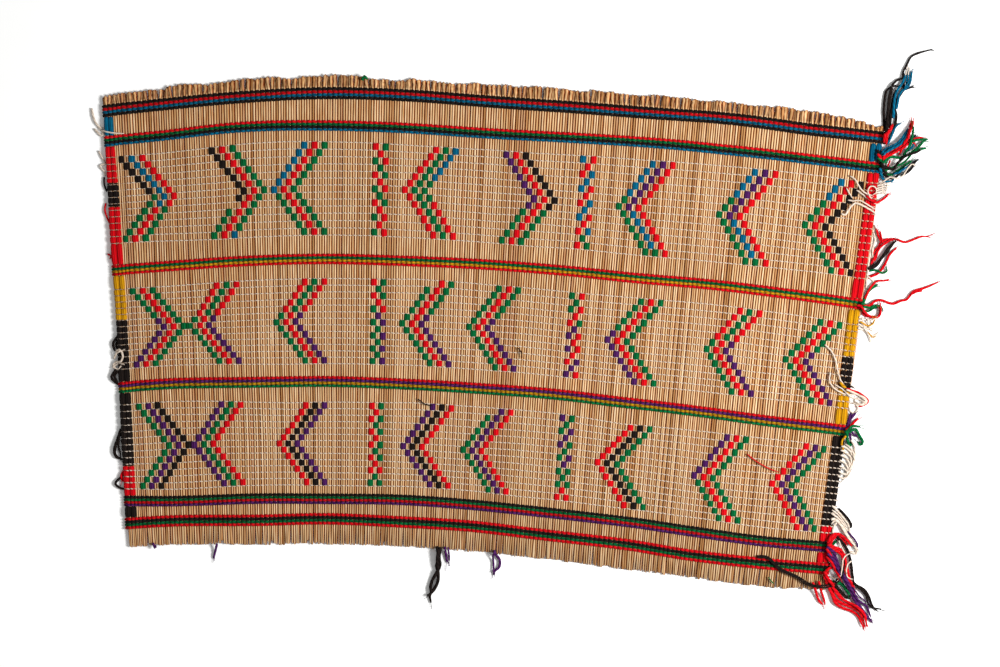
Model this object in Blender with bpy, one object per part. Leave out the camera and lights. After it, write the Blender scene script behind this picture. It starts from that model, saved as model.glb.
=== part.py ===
"""A small twined rush mat, lying flat on z = 0 with its face up.

Stalks run along Y in pairs, from a pinched head hem at +Y to cut ends at -Y. Rows of coloured
yarn cross them in six bands, over and under the stalks and round both edges. Between the bands the
two outer pairs at each side are wrapped in yarn, and bunches of yarn ends lie loose outside the edges.
The sizes are in millimetres, and MM turns them into metres.
"""

import math
import random
from collections import namedtuple

import bmesh
import bpy
from mathutils import Matrix, Vector

MM = 0.001
NAME = "twined_rush_mat"

# Stalks
PAIRS = 154
STALK_THICK = 2.0
GROOVE = 0.5
PAIR_GROOVE = 0.7
EDGE_PAIRS = 2
HEM_RISE = 0.8
HEM_DROP = 0.7
HEM_NOTCH = 3.2
HEM_UNEVEN = 1.3
FOOT_NOTCH = 2.4
FOOT_UNEVEN = 0.8

# Yarn, and the clearance between two pieces
YARN = 1.1
GAP = 0.3
ROW_SHOULDER = 0.7
END_ROUND = 0.7
WRAP_BULGE = 0.5

# Heights above the floor
STALK_LOW = YARN + GAP
STALK_HIGH = STALK_LOW + STALK_THICK
OVER_LOW = STALK_HIGH + GAP
OVER_TOP = OVER_LOW + YARN
MID = (STALK_LOW + STALK_HIGH) / 2

# Knots and loose ends
KNOT_LOW = 0.3
KNOT_HIGH = 3.4
TAIL_FLATNESS = 0.8
TAIL_STEP = 6.0
TAIL_TAPER = 0.35
FOOT_TIE_UNDER = 4.0
FOOT_TIE_OUT = 2.6

# Where the mat stands on the origin, so that it is at the middle of the whole piece with its loose ends
CENTRE_X = 0.45
CENTRE_Y = -0.03

# Each stalk is straight, and these are the places of some of them on two lines across the mat
HEAD_LINE = 182.0
FOOT_LINE = -178.0
StalkLine = namedtuple("StalkLine", "pair head_x foot_x")
STALK_LINES = (
    StalkLine(0, -328.6, -309.1),
    StalkLine(55, -104.7, -111.9),
    StalkLine(96, 62.1, 36.3),
    StalkLine(154, 298.0, 252.8),
)

# How high up the mat its ends and the middles of its six bands lie, at some of the stalk pairs
Station = namedtuple("Station", "pair head a b c d e f foot")
STATIONS = (
    Station(0, 193, 181.5, 157, 55, -39, -130.5, -148.5, -167),
    Station(12, 200.5, 187, 163, 58, -36, -130.5, -146, -165),
    Station(28, 206.5, 193.5, 169.5, 62.5, -35, -129, -145.5, -165),
    Station(44, 209.5, 196.5, 171, 63.5, -34.5, -128.5, -144.5, -165),
    Station(60, 206.5, 194.5, 168.5, 62.5, -36.5, -129, -146.5, -166.5),
    Station(76, 202.5, 189.5, 164, 59.5, -40, -133, -151, -170.5),
    Station(92, 198.5, 185.5, 161, 54.5, -44.5, -139, -157, -176.5),
    Station(108, 194, 181, 157, 48.5, -51.5, -146, -164, -184),
    Station(124, 188, 175.5, 150.5, 42.5, -59.5, -155, -174, -191),
    Station(140, 181, 167.5, 143.5, 35, -67.5, -162.5, -180, -199),
    Station(154, 169, 161, 137, 28, -73.5, -167, -185, -201.5),
)

# The bands: the distance between their rows and the colours of the rows, from the head down
Band = namedtuple("Band", "line pitch colours")
BANDS = (
    Band("a", 2.4, ("black", "red", "blue", "black")),
    Band("b", 2.1, ("red", "green", "black", "blue")),
    Band("c", 2.1, ("red", "green", "yellow", "red")),
    Band("d", 2.2, ("red", "purple", "yellow", "green")),
    Band("e", 2.1, ("black", "green", "red", "purple")),
    Band("f", 2.3, ("red", "black", "green", "red")),
)

# The wrapped stretches of each edge between two bands, as shares of the way from the upper one down
Wrap = namedtuple("Wrap", "side above below start end colour")
WRAPS = (
    Wrap("left", "a", "b", 0.0, 1.0, "blue"),
    Wrap("left", "b", "c", 0.0, 0.31, "red"),
    Wrap("left", "b", "c", 0.31, 0.51, "black"),
    Wrap("left", "b", "c", 0.51, 1.0, "red"),
    Wrap("left", "c", "d", 0.0, 0.42, "yellow"),
    Wrap("left", "c", "d", 0.42, 1.0, "black"),
    Wrap("left", "d", "e", 0.0, 0.71, "black"),
    Wrap("left", "d", "e", 0.71, 1.0, "red"),
    Wrap("left", "e", "f", 0.0, 1.0, "black"),
    Wrap("right", "a", "b", 0.0, 1.0, "blue"),
    Wrap("right", "b", "c", 0.0, 1.0, "red"),
    Wrap("right", "c", "d", 0.0, 0.41, "yellow"),
    Wrap("right", "c", "d", 0.41, 0.69, "black"),
    Wrap("right", "c", "d", 0.69, 1.0, "yellow"),
    Wrap("right", "d", "e", 0.0, 0.85, "black"),
    Wrap("right", "d", "e", 0.85, 1.0, "red"),
    Wrap("right", "e", "f", 0.0, 1.0, "red"),
)

# Where each bunch of loose ends is knotted: a stretch of an edge, as heights, or of the foot, as pairs
Bunch = namedtuple("Bunch", "name side start end width colour")
BUNCHES = (
    Bunch("ends_band_a", "right", 168, 157, 5.0, "black"),
    Bunch("ends_band_b", "right", 145, 127, 4.0, "green"),
    Bunch("ends_cream_1_head", "right", 112, 103, 4.0, "cream"),
    Bunch("ends_cream_1_foot", "right", 62, 50, 4.0, "red"),
    Bunch("ends_band_c", "right", 34, 20, 4.0, "red"),
    Bunch("ends_cream_2_head", "right", 16, 1, 4.0, "cream"),
    Bunch("ends_cream_2_foot", "right", -38, -51, 4.0, "cream"),
    Bunch("ends_band_d", "right", -69, -82, 4.0, "green"),
    Bunch("ends_cream_3_head", "right", -90, -109, 4.0, "cream"),
    Bunch("ends_cream_3_foot", "right", -131, -146, 4.0, "cream"),
    Bunch("ends_corner", "right", -164, -190, 4.0, "red"),
    Bunch("ends_left_a", "left", 170, 161, 2.6, "cream"),
    Bunch("ends_left_b", "left", 144, 121, 2.6, "cream"),
    Bunch("ends_left_c", "left", -4, -27, 2.6, "cream"),
    Bunch("ends_left_d", "left", -79, -114, 2.6, "black"),
    Bunch("ends_foot_a", "foot", 19.0, 21.0, 0.0, "purple"),
    Bunch("ends_foot_b", "foot", 68.6, 72.2, 0.0, "black"),
    Bunch("ends_foot_c", "foot", 80.5, 83.0, 0.0, "purple"),
)

# The loose ends: bow and sway bend one to the left of its way, once or to and fro, as shares of its length
Tail = namedtuple("Tail", "bunch root_x root_y tip_x tip_y bow sway thick")
TAILS = (
    Tail("ends_band_a", 299, 166, 302, 202, 0.15, 0.0, 2.0),
    Tail("ends_band_a", 301, 166, 335, 231, 0.15, 0.0, 1.8),
    Tail("ends_band_a", 302, 165, 318, 214, 0.10, 0.0, 2.0),
    Tail("ends_band_a", 302, 162, 320, 202, 0.10, 0.0, 2.0),
    Tail("ends_band_b", 296, 143, 314, 168, -0.12, 0.0, 2.0),
    Tail("ends_band_b", 297, 142, 318, 174, -0.12, 0.0, 2.0),
    Tail("ends_band_b", 297, 140, 322, 168, -0.12, 0.0, 2.0),
    Tail("ends_band_b", 297, 138, 332, 160, -0.04, 0.0, 2.0),
    Tail("ends_band_b", 297, 136, 330, 152, 0.0, 0.0, 1.8),
    Tail("ends_band_b", 297, 132, 324, 143, 0.0, 0.0, 1.8),
    Tail("ends_band_b", 296, 128, 320, 136, 0.0, 0.0, 1.8),
    Tail("ends_cream_1_head", 292, 110, 296, 122, 0.0, 0.0, 1.2),
    Tail("ends_cream_1_head", 292, 108, 299, 120, 0.0, 0.0, 1.2),
    Tail("ends_cream_1_head", 292, 105, 301, 115, -0.15, 0.0, 1.6),
    Tail("ends_cream_1_foot", 286, 60, 290, 88, -0.12, 0.0, 1.6),
    Tail("ends_cream_1_foot", 286, 59, 334, 81, 0.20, 0.0, 1.8),
    Tail("ends_cream_1_foot", 286, 57, 302, 73.5, -0.03, 0.0, 2.2),
    Tail("ends_cream_1_foot", 286, 54.5, 307, 72, -0.10, 0.0, 2.0),
    Tail("ends_cream_1_foot", 286, 52, 298, 54, -0.15, 0.0, 1.6),
    Tail("ends_band_c", 282, 33, 301, 47, 0.20, 0.0, 1.6),
    Tail("ends_band_c", 282, 30.5, 293, 42, 0.0, 0.0, 1.8),
    Tail("ends_band_c", 282, 28, 340, 45, -0.09, 0.0, 2.0),
    Tail("ends_band_c", 282, 25, 295, 23, 0.10, 0.0, 1.8),
    Tail("ends_band_c", 282, 21.5, 292, 20, -0.15, 0.0, 1.8),
    Tail("ends_cream_2_head", 280, 14, 291, 14, 0.0, 0.0, 1.2),
    Tail("ends_cream_2_head", 280, 11, 289, 9.5, 0.0, 0.0, 1.2),
    Tail("ends_cream_2_head", 280, 8, 287, 6, 0.0, 0.0, 1.2),
    Tail("ends_cream_2_head", 279, 5.5, 292, 2.5, 0.0, 0.0, 1.2),
    Tail("ends_cream_2_head", 279, 3, 287, -3, 0.0, 0.0, 1.2),
    Tail("ends_cream_2_foot", 273, -40, 283, -45, 0.10, 0.0, 1.2),
    Tail("ends_cream_2_foot", 273, -43, 284, -50, 0.05, 0.0, 1.8),
    Tail("ends_cream_2_foot", 273, -46, 281, -54, 0.0, 0.0, 1.2),
    Tail("ends_cream_2_foot", 272, -49, 277, -58, 0.0, 0.0, 1.6),
    Tail("ends_band_d", 269, -70.5, 274, -61, 0.0, 0.0, 2.0),
    Tail("ends_band_d", 269, -73, 279, -63, 0.0, 0.0, 1.8),
    Tail("ends_band_d", 269, -75, 279, -71, 0.15, 0.0, 1.8),
    Tail("ends_band_d", 269, -77.5, 279.5, -83, 0.30, 0.0, 1.8),
    Tail("ends_band_d", 268.5, -80, 270, -86.5, 0.0, 0.0, 1.8),
    Tail("ends_cream_3_head", 266, -92, 274, -89, 0.0, 0.0, 1.2),
    Tail("ends_cream_3_head", 266, -95, 275, -95, 0.0, 0.0, 1.4),
    Tail("ends_cream_3_head", 265.5, -98.5, 274.5, -101, 0.0, 0.0, 1.4),
    Tail("ends_cream_3_head", 265.5, -102, 273, -107, 0.0, 0.0, 1.4),
    Tail("ends_cream_3_head", 265, -106, 270, -114, 0.0, 0.0, 1.2),
    Tail("ends_cream_3_foot", 261, -133, 269, -143, 0.15, 0.0, 1.2),
    Tail("ends_cream_3_foot", 261, -137.5, 269, -150, 0.0, 0.0, 1.8),
    Tail("ends_cream_3_foot", 260.5, -141, 264.5, -152, 0.0, 0.0, 1.4),
    Tail("ends_corner", 257, -166.5, 276, -168, 0.25, 0.0, 1.8),
    Tail("ends_corner", 257, -169, 294, -217, -0.02, 0.11, 2.0),
    Tail("ends_corner", 257, -171.5, 270, -196, 0.12, 0.0, 2.0),
    Tail("ends_corner", 257, -174.5, 288, -229, -0.05, 0.0, 2.0),
    Tail("ends_corner", 257, -178, 264.5, -203, -0.10, 0.0, 1.6),
    Tail("ends_corner", 256.5, -182, 282, -231, -0.16, 0.0, 2.0),
    Tail("ends_corner", 256, -185, 273, -228, -0.15, 0.0, 2.0),
    Tail("ends_corner", 255.5, -188, 249, -213, -0.03, 0.0, 1.8),
    Tail("ends_left_a", -330.5, 168, -339, 184, 0.10, 0.0, 1.4),
    Tail("ends_left_a", -330.5, 164, -338, 168, 0.0, 0.0, 1.2),
    Tail("ends_left_b", -328.5, 142, -333, 150, 0.0, 0.0, 1.2),
    Tail("ends_left_b", -328.5, 138, -333, 136, 0.0, 0.0, 1.2),
    Tail("ends_left_b", -328, 124, -331, 131, 0.0, 0.0, 1.8),
    Tail("ends_left_c", -320.5, -8, -325.5, -6, 0.0, 0.0, 1.2),
    Tail("ends_left_c", -320.5, -15, -326, -18, 0.0, 0.0, 1.2),
    Tail("ends_left_c", -320, -24, -324.5, -32, 0.0, 0.0, 1.8),
    Tail("ends_left_d", -316.5, -82, -321.5, -91, 0.0, 0.0, 1.8),
    Tail("ends_left_d", -315, -111, -320.5, -117, 0.0, 0.0, 1.8),
    Tail("ends_foot_a", -238, -167, -241, -177.5, 0.0, 0.0, 1.8),
    Tail("ends_foot_b", -61, -171, -70, -205, 0.02, 0.0, 1.8),
    Tail("ends_foot_b", -58, -171, -66, -212, 0.06, 0.0, 1.8),
    Tail("ends_foot_b", -55, -171, -54, -181, 0.0, 0.0, 1.6),
    Tail("ends_foot_b", -52, -171.5, -50.5, -179.5, 0.0, 0.0, 1.6),
    Tail("ends_foot_c", -16, -175, -17, -189, 0.35, 0.0, 1.8),
)

COLOURS = {
    "straw": (0.66, 0.45, 0.24),
    "red": (0.75, 0.01, 0.02),
    "green": (0.0, 0.16, 0.04),
    "blue": (0.01, 0.14, 0.28),
    "purple": (0.05, 0.01, 0.13),
    "yellow": (0.63, 0.33, 0.02),
    "black": (0.012, 0.010, 0.009),
    "cream": (0.75, 0.66, 0.53),
}


def clear_scene():
    for item in list(bpy.data.objects):
        bpy.data.objects.remove(item, do_unlink=True)


def new_collection(name):
    group = bpy.data.collections.new(name)
    bpy.context.scene.collection.children.link(group)
    return group


def material(colour):
    """The yarn's or the straw's own matt material."""
    made = bpy.data.materials.get(colour)
    if made is None:
        made = bpy.data.materials.new(colour)
        made.use_nodes = True
        shader = made.node_tree.nodes["Principled BSDF"]
        shader.inputs["Base Color"].default_value = (*COLOURS[colour], 1.0)
        shader.inputs["Roughness"].default_value = 0.55 if colour == "straw" else 0.9
        shader.inputs["Metallic"].default_value = 0.0
    return made


def between(low, high, share):
    return low + (high - low) * share


def stalk_x(pair, y):
    """Where the line between stalks at this pair number crosses the height y."""
    for left, right in zip(STALK_LINES, STALK_LINES[1:]):
        if pair <= right.pair or right is STALK_LINES[-1]:
            share = (pair - left.pair) / (right.pair - left.pair)
            head = between(left.head_x, right.head_x, share)
            foot = between(left.foot_x, right.foot_x, share)
            return between(head, foot, (HEAD_LINE - y) / (HEAD_LINE - FOOT_LINE))


def height(line, pair):
    """How high up the mat a band or an end lies at a pair: a smooth curve through its stations."""
    last = len(STATIONS) - 1
    step = 0
    while step < last - 1 and pair > STATIONS[step + 1].pair:
        step += 1
    knots = [STATIONS[min(max(step + k, 0), last)] for k in (-1, 0, 1, 2)]
    p0, p1, p2, p3 = (knot.pair for knot in knots)
    y0, y1, y2, y3 = (getattr(knot, line) for knot in knots)
    span = p2 - p1
    t = (pair - p1) / span
    slope_1 = (y2 - y0) / (p2 - p0) * span
    slope_2 = (y3 - y1) / (p3 - p1) * span
    return (
        (2 * t**3 - 3 * t**2 + 1) * y1
        + (t**3 - 2 * t**2 + t) * slope_1
        + (3 * t**2 - 2 * t**3) * y2
        + (t**3 - t**2) * slope_2
    )


def place(x, y, z):
    """A point of the mat in metres, on the part's own origin."""
    return Vector(((x - CENTRE_X) * MM, (y - CENTRE_Y) * MM, z * MM))


def finish(mesh, name, colour, group):
    item = bpy.data.objects.new(name, mesh)
    mesh.materials.append(material(colour))
    group.objects.link(item)
    return item


def loft(name, sections, colour, group, ring=False):
    """Skins closed sections of equal counts, capping the first and the last unless they form a ring."""
    shape = bmesh.new()
    rows = [[shape.verts.new(point) for point in section] for section in sections]
    pairs = list(zip(rows, rows[1:]))
    if ring:
        pairs.append((rows[-1], rows[0]))
    else:
        shape.faces.new(rows[0])
        shape.faces.new(rows[-1])
    for low, high in pairs:
        for k in range(len(low)):
            n = (k + 1) % len(low)
            shape.faces.new((low[k], low[n], high[n], high[k]))
    bmesh.ops.recalc_face_normals(shape, faces=shape.faces)
    mesh = bpy.data.meshes.new(name)
    shape.to_mesh(mesh)
    shape.free()
    return finish(mesh, name, colour, group)


def stalk_ends():
    """How far each pair's head and each stalk's foot lies from its even line."""
    chance = random.Random(154)
    heads = [chance.uniform(-HEM_UNEVEN, HEM_UNEVEN) for _ in range(PAIRS)]
    feet = [chance.uniform(-FOOT_UNEVEN, FOOT_UNEVEN) for _ in range(2 * PAIRS)]
    return heads, feet


def stalk_section(kind, pair, heads, feet):
    """One pair's ridges and grooves across: five upper points and three lower ones."""
    upper = []
    for k in range(5):
        where = pair + k / 4
        ridge = k % 2 == 1
        outer = k in (0, 4)
        groove = PAIR_GROOVE if outer else GROOVE
        z = STALK_HIGH if ridge else STALK_HIGH - groove
        if kind == "neck":
            y = height("a", where) + 2 * BANDS[0].pitch + GAP
        elif kind == "head":
            y = height("head", where) + (-HEM_NOTCH if outer else heads[pair])
            z += -groove if outer else HEM_RISE
        else:
            y = height("foot", where) + (FOOT_NOTCH if outer else feet[2 * pair + k // 2 - (k == 2)])
        upper.append((where, y, z))
    lower = []
    drop = HEM_DROP if kind == "head" else 0.0
    for k in (0, 2, 4):
        where, y, _ = upper[k]
        z = STALK_LOW - drop if k == 2 else STALK_LOW + groove_below(kind)
        lower.append((where, y, z))
    return upper, lower


def groove_below(kind):
    return 0.2 if kind == "head" else GROOVE


def build_stalks(group):
    """All the stalks as one ribbed sheet, ending unevenly at both ends."""
    heads, feet = stalk_ends()
    shape = bmesh.new()
    seen = {}

    def vert(kind, layer, where, y, z):
        key = (kind, layer, where)
        if key not in seen:
            seen[key] = shape.verts.new(place(stalk_x(where, y), y, z))
        return seen[key]

    for pair in range(PAIRS):
        lines = {}
        for kind in ("head", "neck", "foot"):
            upper, lower = stalk_section(kind, pair, heads, feet)
            lines[kind] = (
                [vert(kind, "upper", *point) for point in upper],
                [vert(kind, "lower", *point) for point in lower],
            )
        for high, low in (("head", "neck"), ("neck", "foot")):
            for layer in (0, 1):
                one, two = lines[high][layer], lines[low][layer]
                for k in range(len(one) - 1):
                    shape.faces.new((one[k], one[k + 1], two[k + 1], two[k]))
        for kind in ("head", "foot"):
            upper, lower = lines[kind]
            shape.faces.new((lower[0], upper[0], upper[1], upper[2], lower[1]))
            shape.faces.new((lower[1], upper[2], upper[3], upper[4], lower[2]))
        if pair in (0, PAIRS - 1):
            side = 0 if pair == 0 else -1
            for high, low in (("head", "neck"), ("neck", "foot")):
                shape.faces.new(
                    (lines[high][0][side], lines[low][0][side], lines[low][1][side], lines[high][1][side])
                )
    bmesh.ops.recalc_face_normals(shape, faces=shape.faces)
    mesh = bpy.data.meshes.new("stalks")
    shape.to_mesh(mesh)
    shape.free()
    return finish(mesh, "stalks", "straw", group)


def row_section(line, offset, width, pair, shift, inner_z, outer_z, outer_shift):
    """Four points across a yarn row at one place of its loop, the outer two closer together."""
    y = height(line, pair) + offset
    x = stalk_x(pair, y)
    half = width / 2
    rows = ((shift, -half, inner_z), (shift, half, inner_z))
    rows += ((outer_shift, half * ROW_SHOULDER, outer_z), (outer_shift, -half * ROW_SHOULDER, outer_z))
    return [place(x + dx, y + dy, z) for dx, dy, z in rows]


def build_row(name, line, offset, width, colour, group):
    """One twined row: under the stalks to the right, round the edge, back over them and round again."""
    pairs = [station.pair for station in STATIONS]
    corner, side = GAP + END_ROUND, GAP + YARN
    sections = []
    for going, inner, outer in (("right", YARN, 0.0), ("left", OVER_LOW, OVER_TOP)):
        course = pairs if going == "right" else pairs[::-1]
        for pair in course:
            way = -1 if pair == 0 else 1
            edge = pair in (0, PAIRS)
            shift = way * GAP if edge else 0.0
            outer_shift = way * corner if edge else 0.0
            sections.append(row_section(line, offset, width, pair, shift, inner, outer, outer_shift))
        last, way = course[-1], 1 if going == "right" else -1
        turn = row_section(line, offset, width, last, way * GAP, MID, MID, way * side)
        sections.append(turn)
    loft(name, sections, colour, group, ring=True)


def build_band(band, group):
    for number, colour in enumerate(band.colours):
        offset = (1.5 - number) * band.pitch
        build_row(f"row_{band.line}{number + 1}", band.line, offset, band.pitch - GAP, colour, group)


def wrap_ends(wrap, pair):
    """The heights where a wrapped stretch starts and ends at a pair."""
    pitch = {band.line: band.pitch for band in BANDS}
    top = height(wrap.above, pair) - 2 * pitch[wrap.above] - GAP / 2
    bottom = height(wrap.below, pair) + 2 * pitch[wrap.below] + GAP / 2
    start = between(top, bottom, wrap.start) - (GAP / 2 if wrap.start > 0 else 0)
    end = between(top, bottom, wrap.end) + (GAP / 2 if wrap.end < 1 else 0)
    return start, end


def build_wrap(name, wrap, group):
    """Yarn round the two outer pairs: a C in section, with a rib over each pair."""
    way = 1 if wrap.side == "left" else -1
    edge = 0 if wrap.side == "left" else PAIRS
    outline = (
        (2.0, YARN, 0.0),
        (2.0, 0.0, 0.0),
        (0.0, 0.0, -END_ROUND),
        (0.0, MID - WRAP_BULGE, -GAP - YARN),
        (0.0, MID + WRAP_BULGE, -GAP - YARN),
        (0.0, OVER_TOP - WRAP_BULGE, -END_ROUND),
        (0.5, OVER_TOP, 0.0),
        (1.0, OVER_TOP - WRAP_BULGE, 0.0),
        (1.5, OVER_TOP, 0.0),
        (2.0, OVER_TOP - WRAP_BULGE, 0.0),
        (2.0, OVER_LOW, 0.0),
        (0.0, OVER_LOW, -GAP),
        (0.0, YARN, -GAP),
    )
    ends = [wrap_ends(wrap, edge), wrap_ends(wrap, edge + way * EDGE_PAIRS)]
    sections = []
    for which in (0, 1):
        section = []
        for pairs_in, z, out in outline:
            y = between(ends[0][which], ends[1][which], pairs_in / EDGE_PAIRS)
            x = stalk_x(edge + way * pairs_in, y) + way * out
            section.append(place(x, y, z))
        sections.append(section)
    loft(name, sections, wrap.colour, group)


def build_wraps(group):
    counts = {"left": 0, "right": 0}
    for wrap in WRAPS:
        counts[wrap.side] += 1
        build_wrap(f"wrap_{wrap.side}_{counts[wrap.side]}", wrap, group)


def build_knot(bunch, group):
    """The strip that holds a bunch: a bar along an edge, or a flat tie under the stalks' cut ends."""
    if bunch.side == "foot":
        middle = (bunch.start + bunch.end) / 2
        y = height("foot", middle)
        start = Vector((stalk_x(bunch.start, y), height("foot", bunch.start), 0))
        end = Vector((stalk_x(bunch.end, y), height("foot", bunch.end), 0))
        width, high = FOOT_TIE_UNDER + FOOT_TIE_OUT, YARN
        out, shift = Vector((0, -1, 0)), (FOOT_TIE_OUT - FOOT_TIE_UNDER) / 2
    else:
        pair, way = (0, -1) if bunch.side == "left" else (PAIRS, 1)
        start = Vector((stalk_x(pair, bunch.start), bunch.start, 0))
        end = Vector((stalk_x(pair, bunch.end), bunch.end, 0))
        width, high = bunch.width, KNOT_HIGH
        out, shift = Vector((way, 0, 0)), GAP + YARN + GAP + width / 2
    along = end - start
    centre = (start + end) / 2 + out * shift
    turn = Matrix.Rotation(math.atan2(along.y, along.x), 4, "Z")
    size = Matrix.Diagonal((along.length * MM, width * MM, (high - KNOT_LOW) * MM, 1.0))
    shape = bmesh.new()
    where = Matrix.Translation(place(centre.x, centre.y, (KNOT_LOW + high) / 2))
    bmesh.ops.create_cube(shape, size=1.0, matrix=where @ turn @ size)
    mesh = bpy.data.meshes.new(bunch.name)
    shape.to_mesh(mesh)
    shape.free()
    return finish(mesh, bunch.name, bunch.colour, group)


def build_profile(group):
    """The flat-bottomed square that each loose end is drawn along its way with, one millimetre wide."""
    data = bpy.data.curves.new("tail_profile", "CURVE")
    spline = data.splines.new("POLY")
    spline.points.add(3)
    corners = ((-1, -1), (1, -1), (1, 1), (-1, 1))
    for point, (x, y) in zip(spline.points, corners):
        point.co = (x * MM / 2, y * MM / 2 * TAIL_FLATNESS, 0, 1)
    spline.use_cyclic_u = True
    profile = bpy.data.objects.new("tail_profile", data)
    group.objects.link(profile)
    profile.hide_render = True
    return profile


def build_tail(tail, number, profile, group):
    """One loose end, level on the floor from its root in the knot to its thinner tip."""
    root, tip = Vector((tail.root_x, tail.root_y)), Vector((tail.tip_x, tail.tip_y))
    chord = tip - root
    left = Vector((-chord.y, chord.x))
    count = max(3, round(chord.length / TAIL_STEP))
    data = bpy.data.curves.new(f"{tail.bunch}_{number}", "CURVE")
    data.dimensions = "3D"
    data.twist_mode = "Z_UP"
    data.bevel_mode = "OBJECT"
    data.bevel_object = profile
    data.use_fill_caps = True
    spline = data.splines.new("POLY")
    spline.points.add(count)
    for k, point in enumerate(spline.points):
        t = k / count
        bend = tail.bow * math.sin(math.pi * t) + tail.sway * math.sin(2 * math.pi * t)
        flat = root + chord * t + left * bend
        thick = tail.thick * (1 - TAIL_TAPER * t)
        point.co = (*place(flat.x, flat.y, thick * TAIL_FLATNESS / 2), 1)
        point.radius = thick
    drawn = bpy.data.objects.new(data.name, data)
    group.objects.link(drawn)
    return as_mesh(drawn, group)


def as_mesh(drawn, group):
    """A curve made a closed mesh, its caps welded to its sides."""
    graph = bpy.context.evaluated_depsgraph_get()
    mesh = bpy.data.meshes.new_from_object(drawn.evaluated_get(graph))
    shape = bmesh.new()
    shape.from_mesh(mesh)
    bmesh.ops.remove_doubles(shape, verts=shape.verts, dist=0.01 * MM)
    bmesh.ops.recalc_face_normals(shape, faces=shape.faces)
    shape.to_mesh(mesh)
    shape.free()
    item = bpy.data.objects.new(drawn.name + "_solid", mesh)
    item.matrix_world = drawn.matrix_world
    group.objects.link(item)
    bpy.data.objects.remove(drawn, do_unlink=True)
    item.hide_render = True
    item.display_type = "WIRE"
    return item


def build_bunches(parts, guides):
    """Each bunch of loose ends: its knot, with its tails joined to it."""
    profile = build_profile(guides)
    for bunch in BUNCHES:
        knot = build_knot(bunch, parts)
        tails = [tail for tail in TAILS if tail.bunch == bunch.name]
        for number, tail in enumerate(tails, 1):
            join = knot.modifiers.new(f"tail_{number}", "BOOLEAN")
            join.operation = "UNION"
            join.solver = "EXACT"
            join.object = build_tail(tail, number, profile, guides)


def main():
    clear_scene()
    parts = new_collection(NAME)
    guides = new_collection("guides")
    build_stalks(parts)
    for band in BANDS:
        build_band(band, parts)
    build_wraps(parts)
    build_bunches(parts, guides)


main()
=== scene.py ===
"""The twined rush mat, dressed: split rush stalks, twined wool bands, cotton twining, laid-in wool
motifs, wrapped side edges and loose yarn ends. Sizes are in millimetres, and MM turns them into metres."""

from collections import namedtuple

import bpy
import numpy as np
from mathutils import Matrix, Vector


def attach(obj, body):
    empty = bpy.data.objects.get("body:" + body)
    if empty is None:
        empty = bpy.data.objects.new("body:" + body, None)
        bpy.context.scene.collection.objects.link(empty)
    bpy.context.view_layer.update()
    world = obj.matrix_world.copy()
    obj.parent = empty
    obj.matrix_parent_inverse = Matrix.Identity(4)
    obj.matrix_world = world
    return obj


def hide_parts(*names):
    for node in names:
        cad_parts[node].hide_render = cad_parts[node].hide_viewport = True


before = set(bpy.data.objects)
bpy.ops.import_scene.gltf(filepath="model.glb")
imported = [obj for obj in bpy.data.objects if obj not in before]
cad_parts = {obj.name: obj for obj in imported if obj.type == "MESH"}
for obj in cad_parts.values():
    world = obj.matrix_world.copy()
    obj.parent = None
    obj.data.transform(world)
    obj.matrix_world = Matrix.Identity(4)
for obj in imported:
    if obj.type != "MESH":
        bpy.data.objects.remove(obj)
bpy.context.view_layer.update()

MM = 0.001
chance = np.random.default_rng(154)

# The part's own sizes: its pairs of stalks, the under and upper side of a stalk and the middle between them,
# the mat's top, the middle of its box and the two levels at which the stalk lines are given
PAIRS = 154
STALK_LOW, STALK_HIGH = 1.4, 3.4
MID = 2.4
TOP = 4.8
CENTRE_X, CENTRE_Y = 0.45, -0.03
HEAD_LINE, FOOT_LINE = 182.0, -178.0

# One pixel of the photograph in millimetres, and the pixel that the part's own sizes are counted from
PIXEL = 0.8
PHOTO_X, PHOTO_Y = 514.0, 338.0
FRAME_WIDE, FRAME_HIGH = 1000, 667

# Wool yarn: its height in a band, how wide it swells there for each row's pitch, how far a row's two strands
# slant across each other, and the way along in which its plies turn once
YARN_HIGH = 1.25
YARN_SWELL = 1.2
BAND_SLANT = 0.28
PLY_LEAD = 4.5

# Cotton thread: its size, slant and ply, its rise over the stalks and over the wrapped edges, and the rows
# of a register
THREAD_WIDE, THREAD_HIGH = 0.92, 0.7
THREAD_SLANT = 0.22
THREAD_LEAD = 2.0
THREAD_RISE, THREAD_WRAP_RISE = 0.62, 0.95
CREAM_ROWS = 14

# The wrapped edges, in pairs from the left and from the right, and the share of its width that the thread
# keeps where it bites into them
WRAPPED = {"left": 2.2, "right": 2.7}
BITES = {"left": 0.3, "right": 0.45}

StalkLine = namedtuple("StalkLine", "pair head_x foot_x")
STALK_LINES = (
    StalkLine(0, -328.6, -309.1),
    StalkLine(55, -104.7, -111.9),
    StalkLine(96, 62.1, 36.3),
    StalkLine(154, 298.0, 252.8),
)

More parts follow.
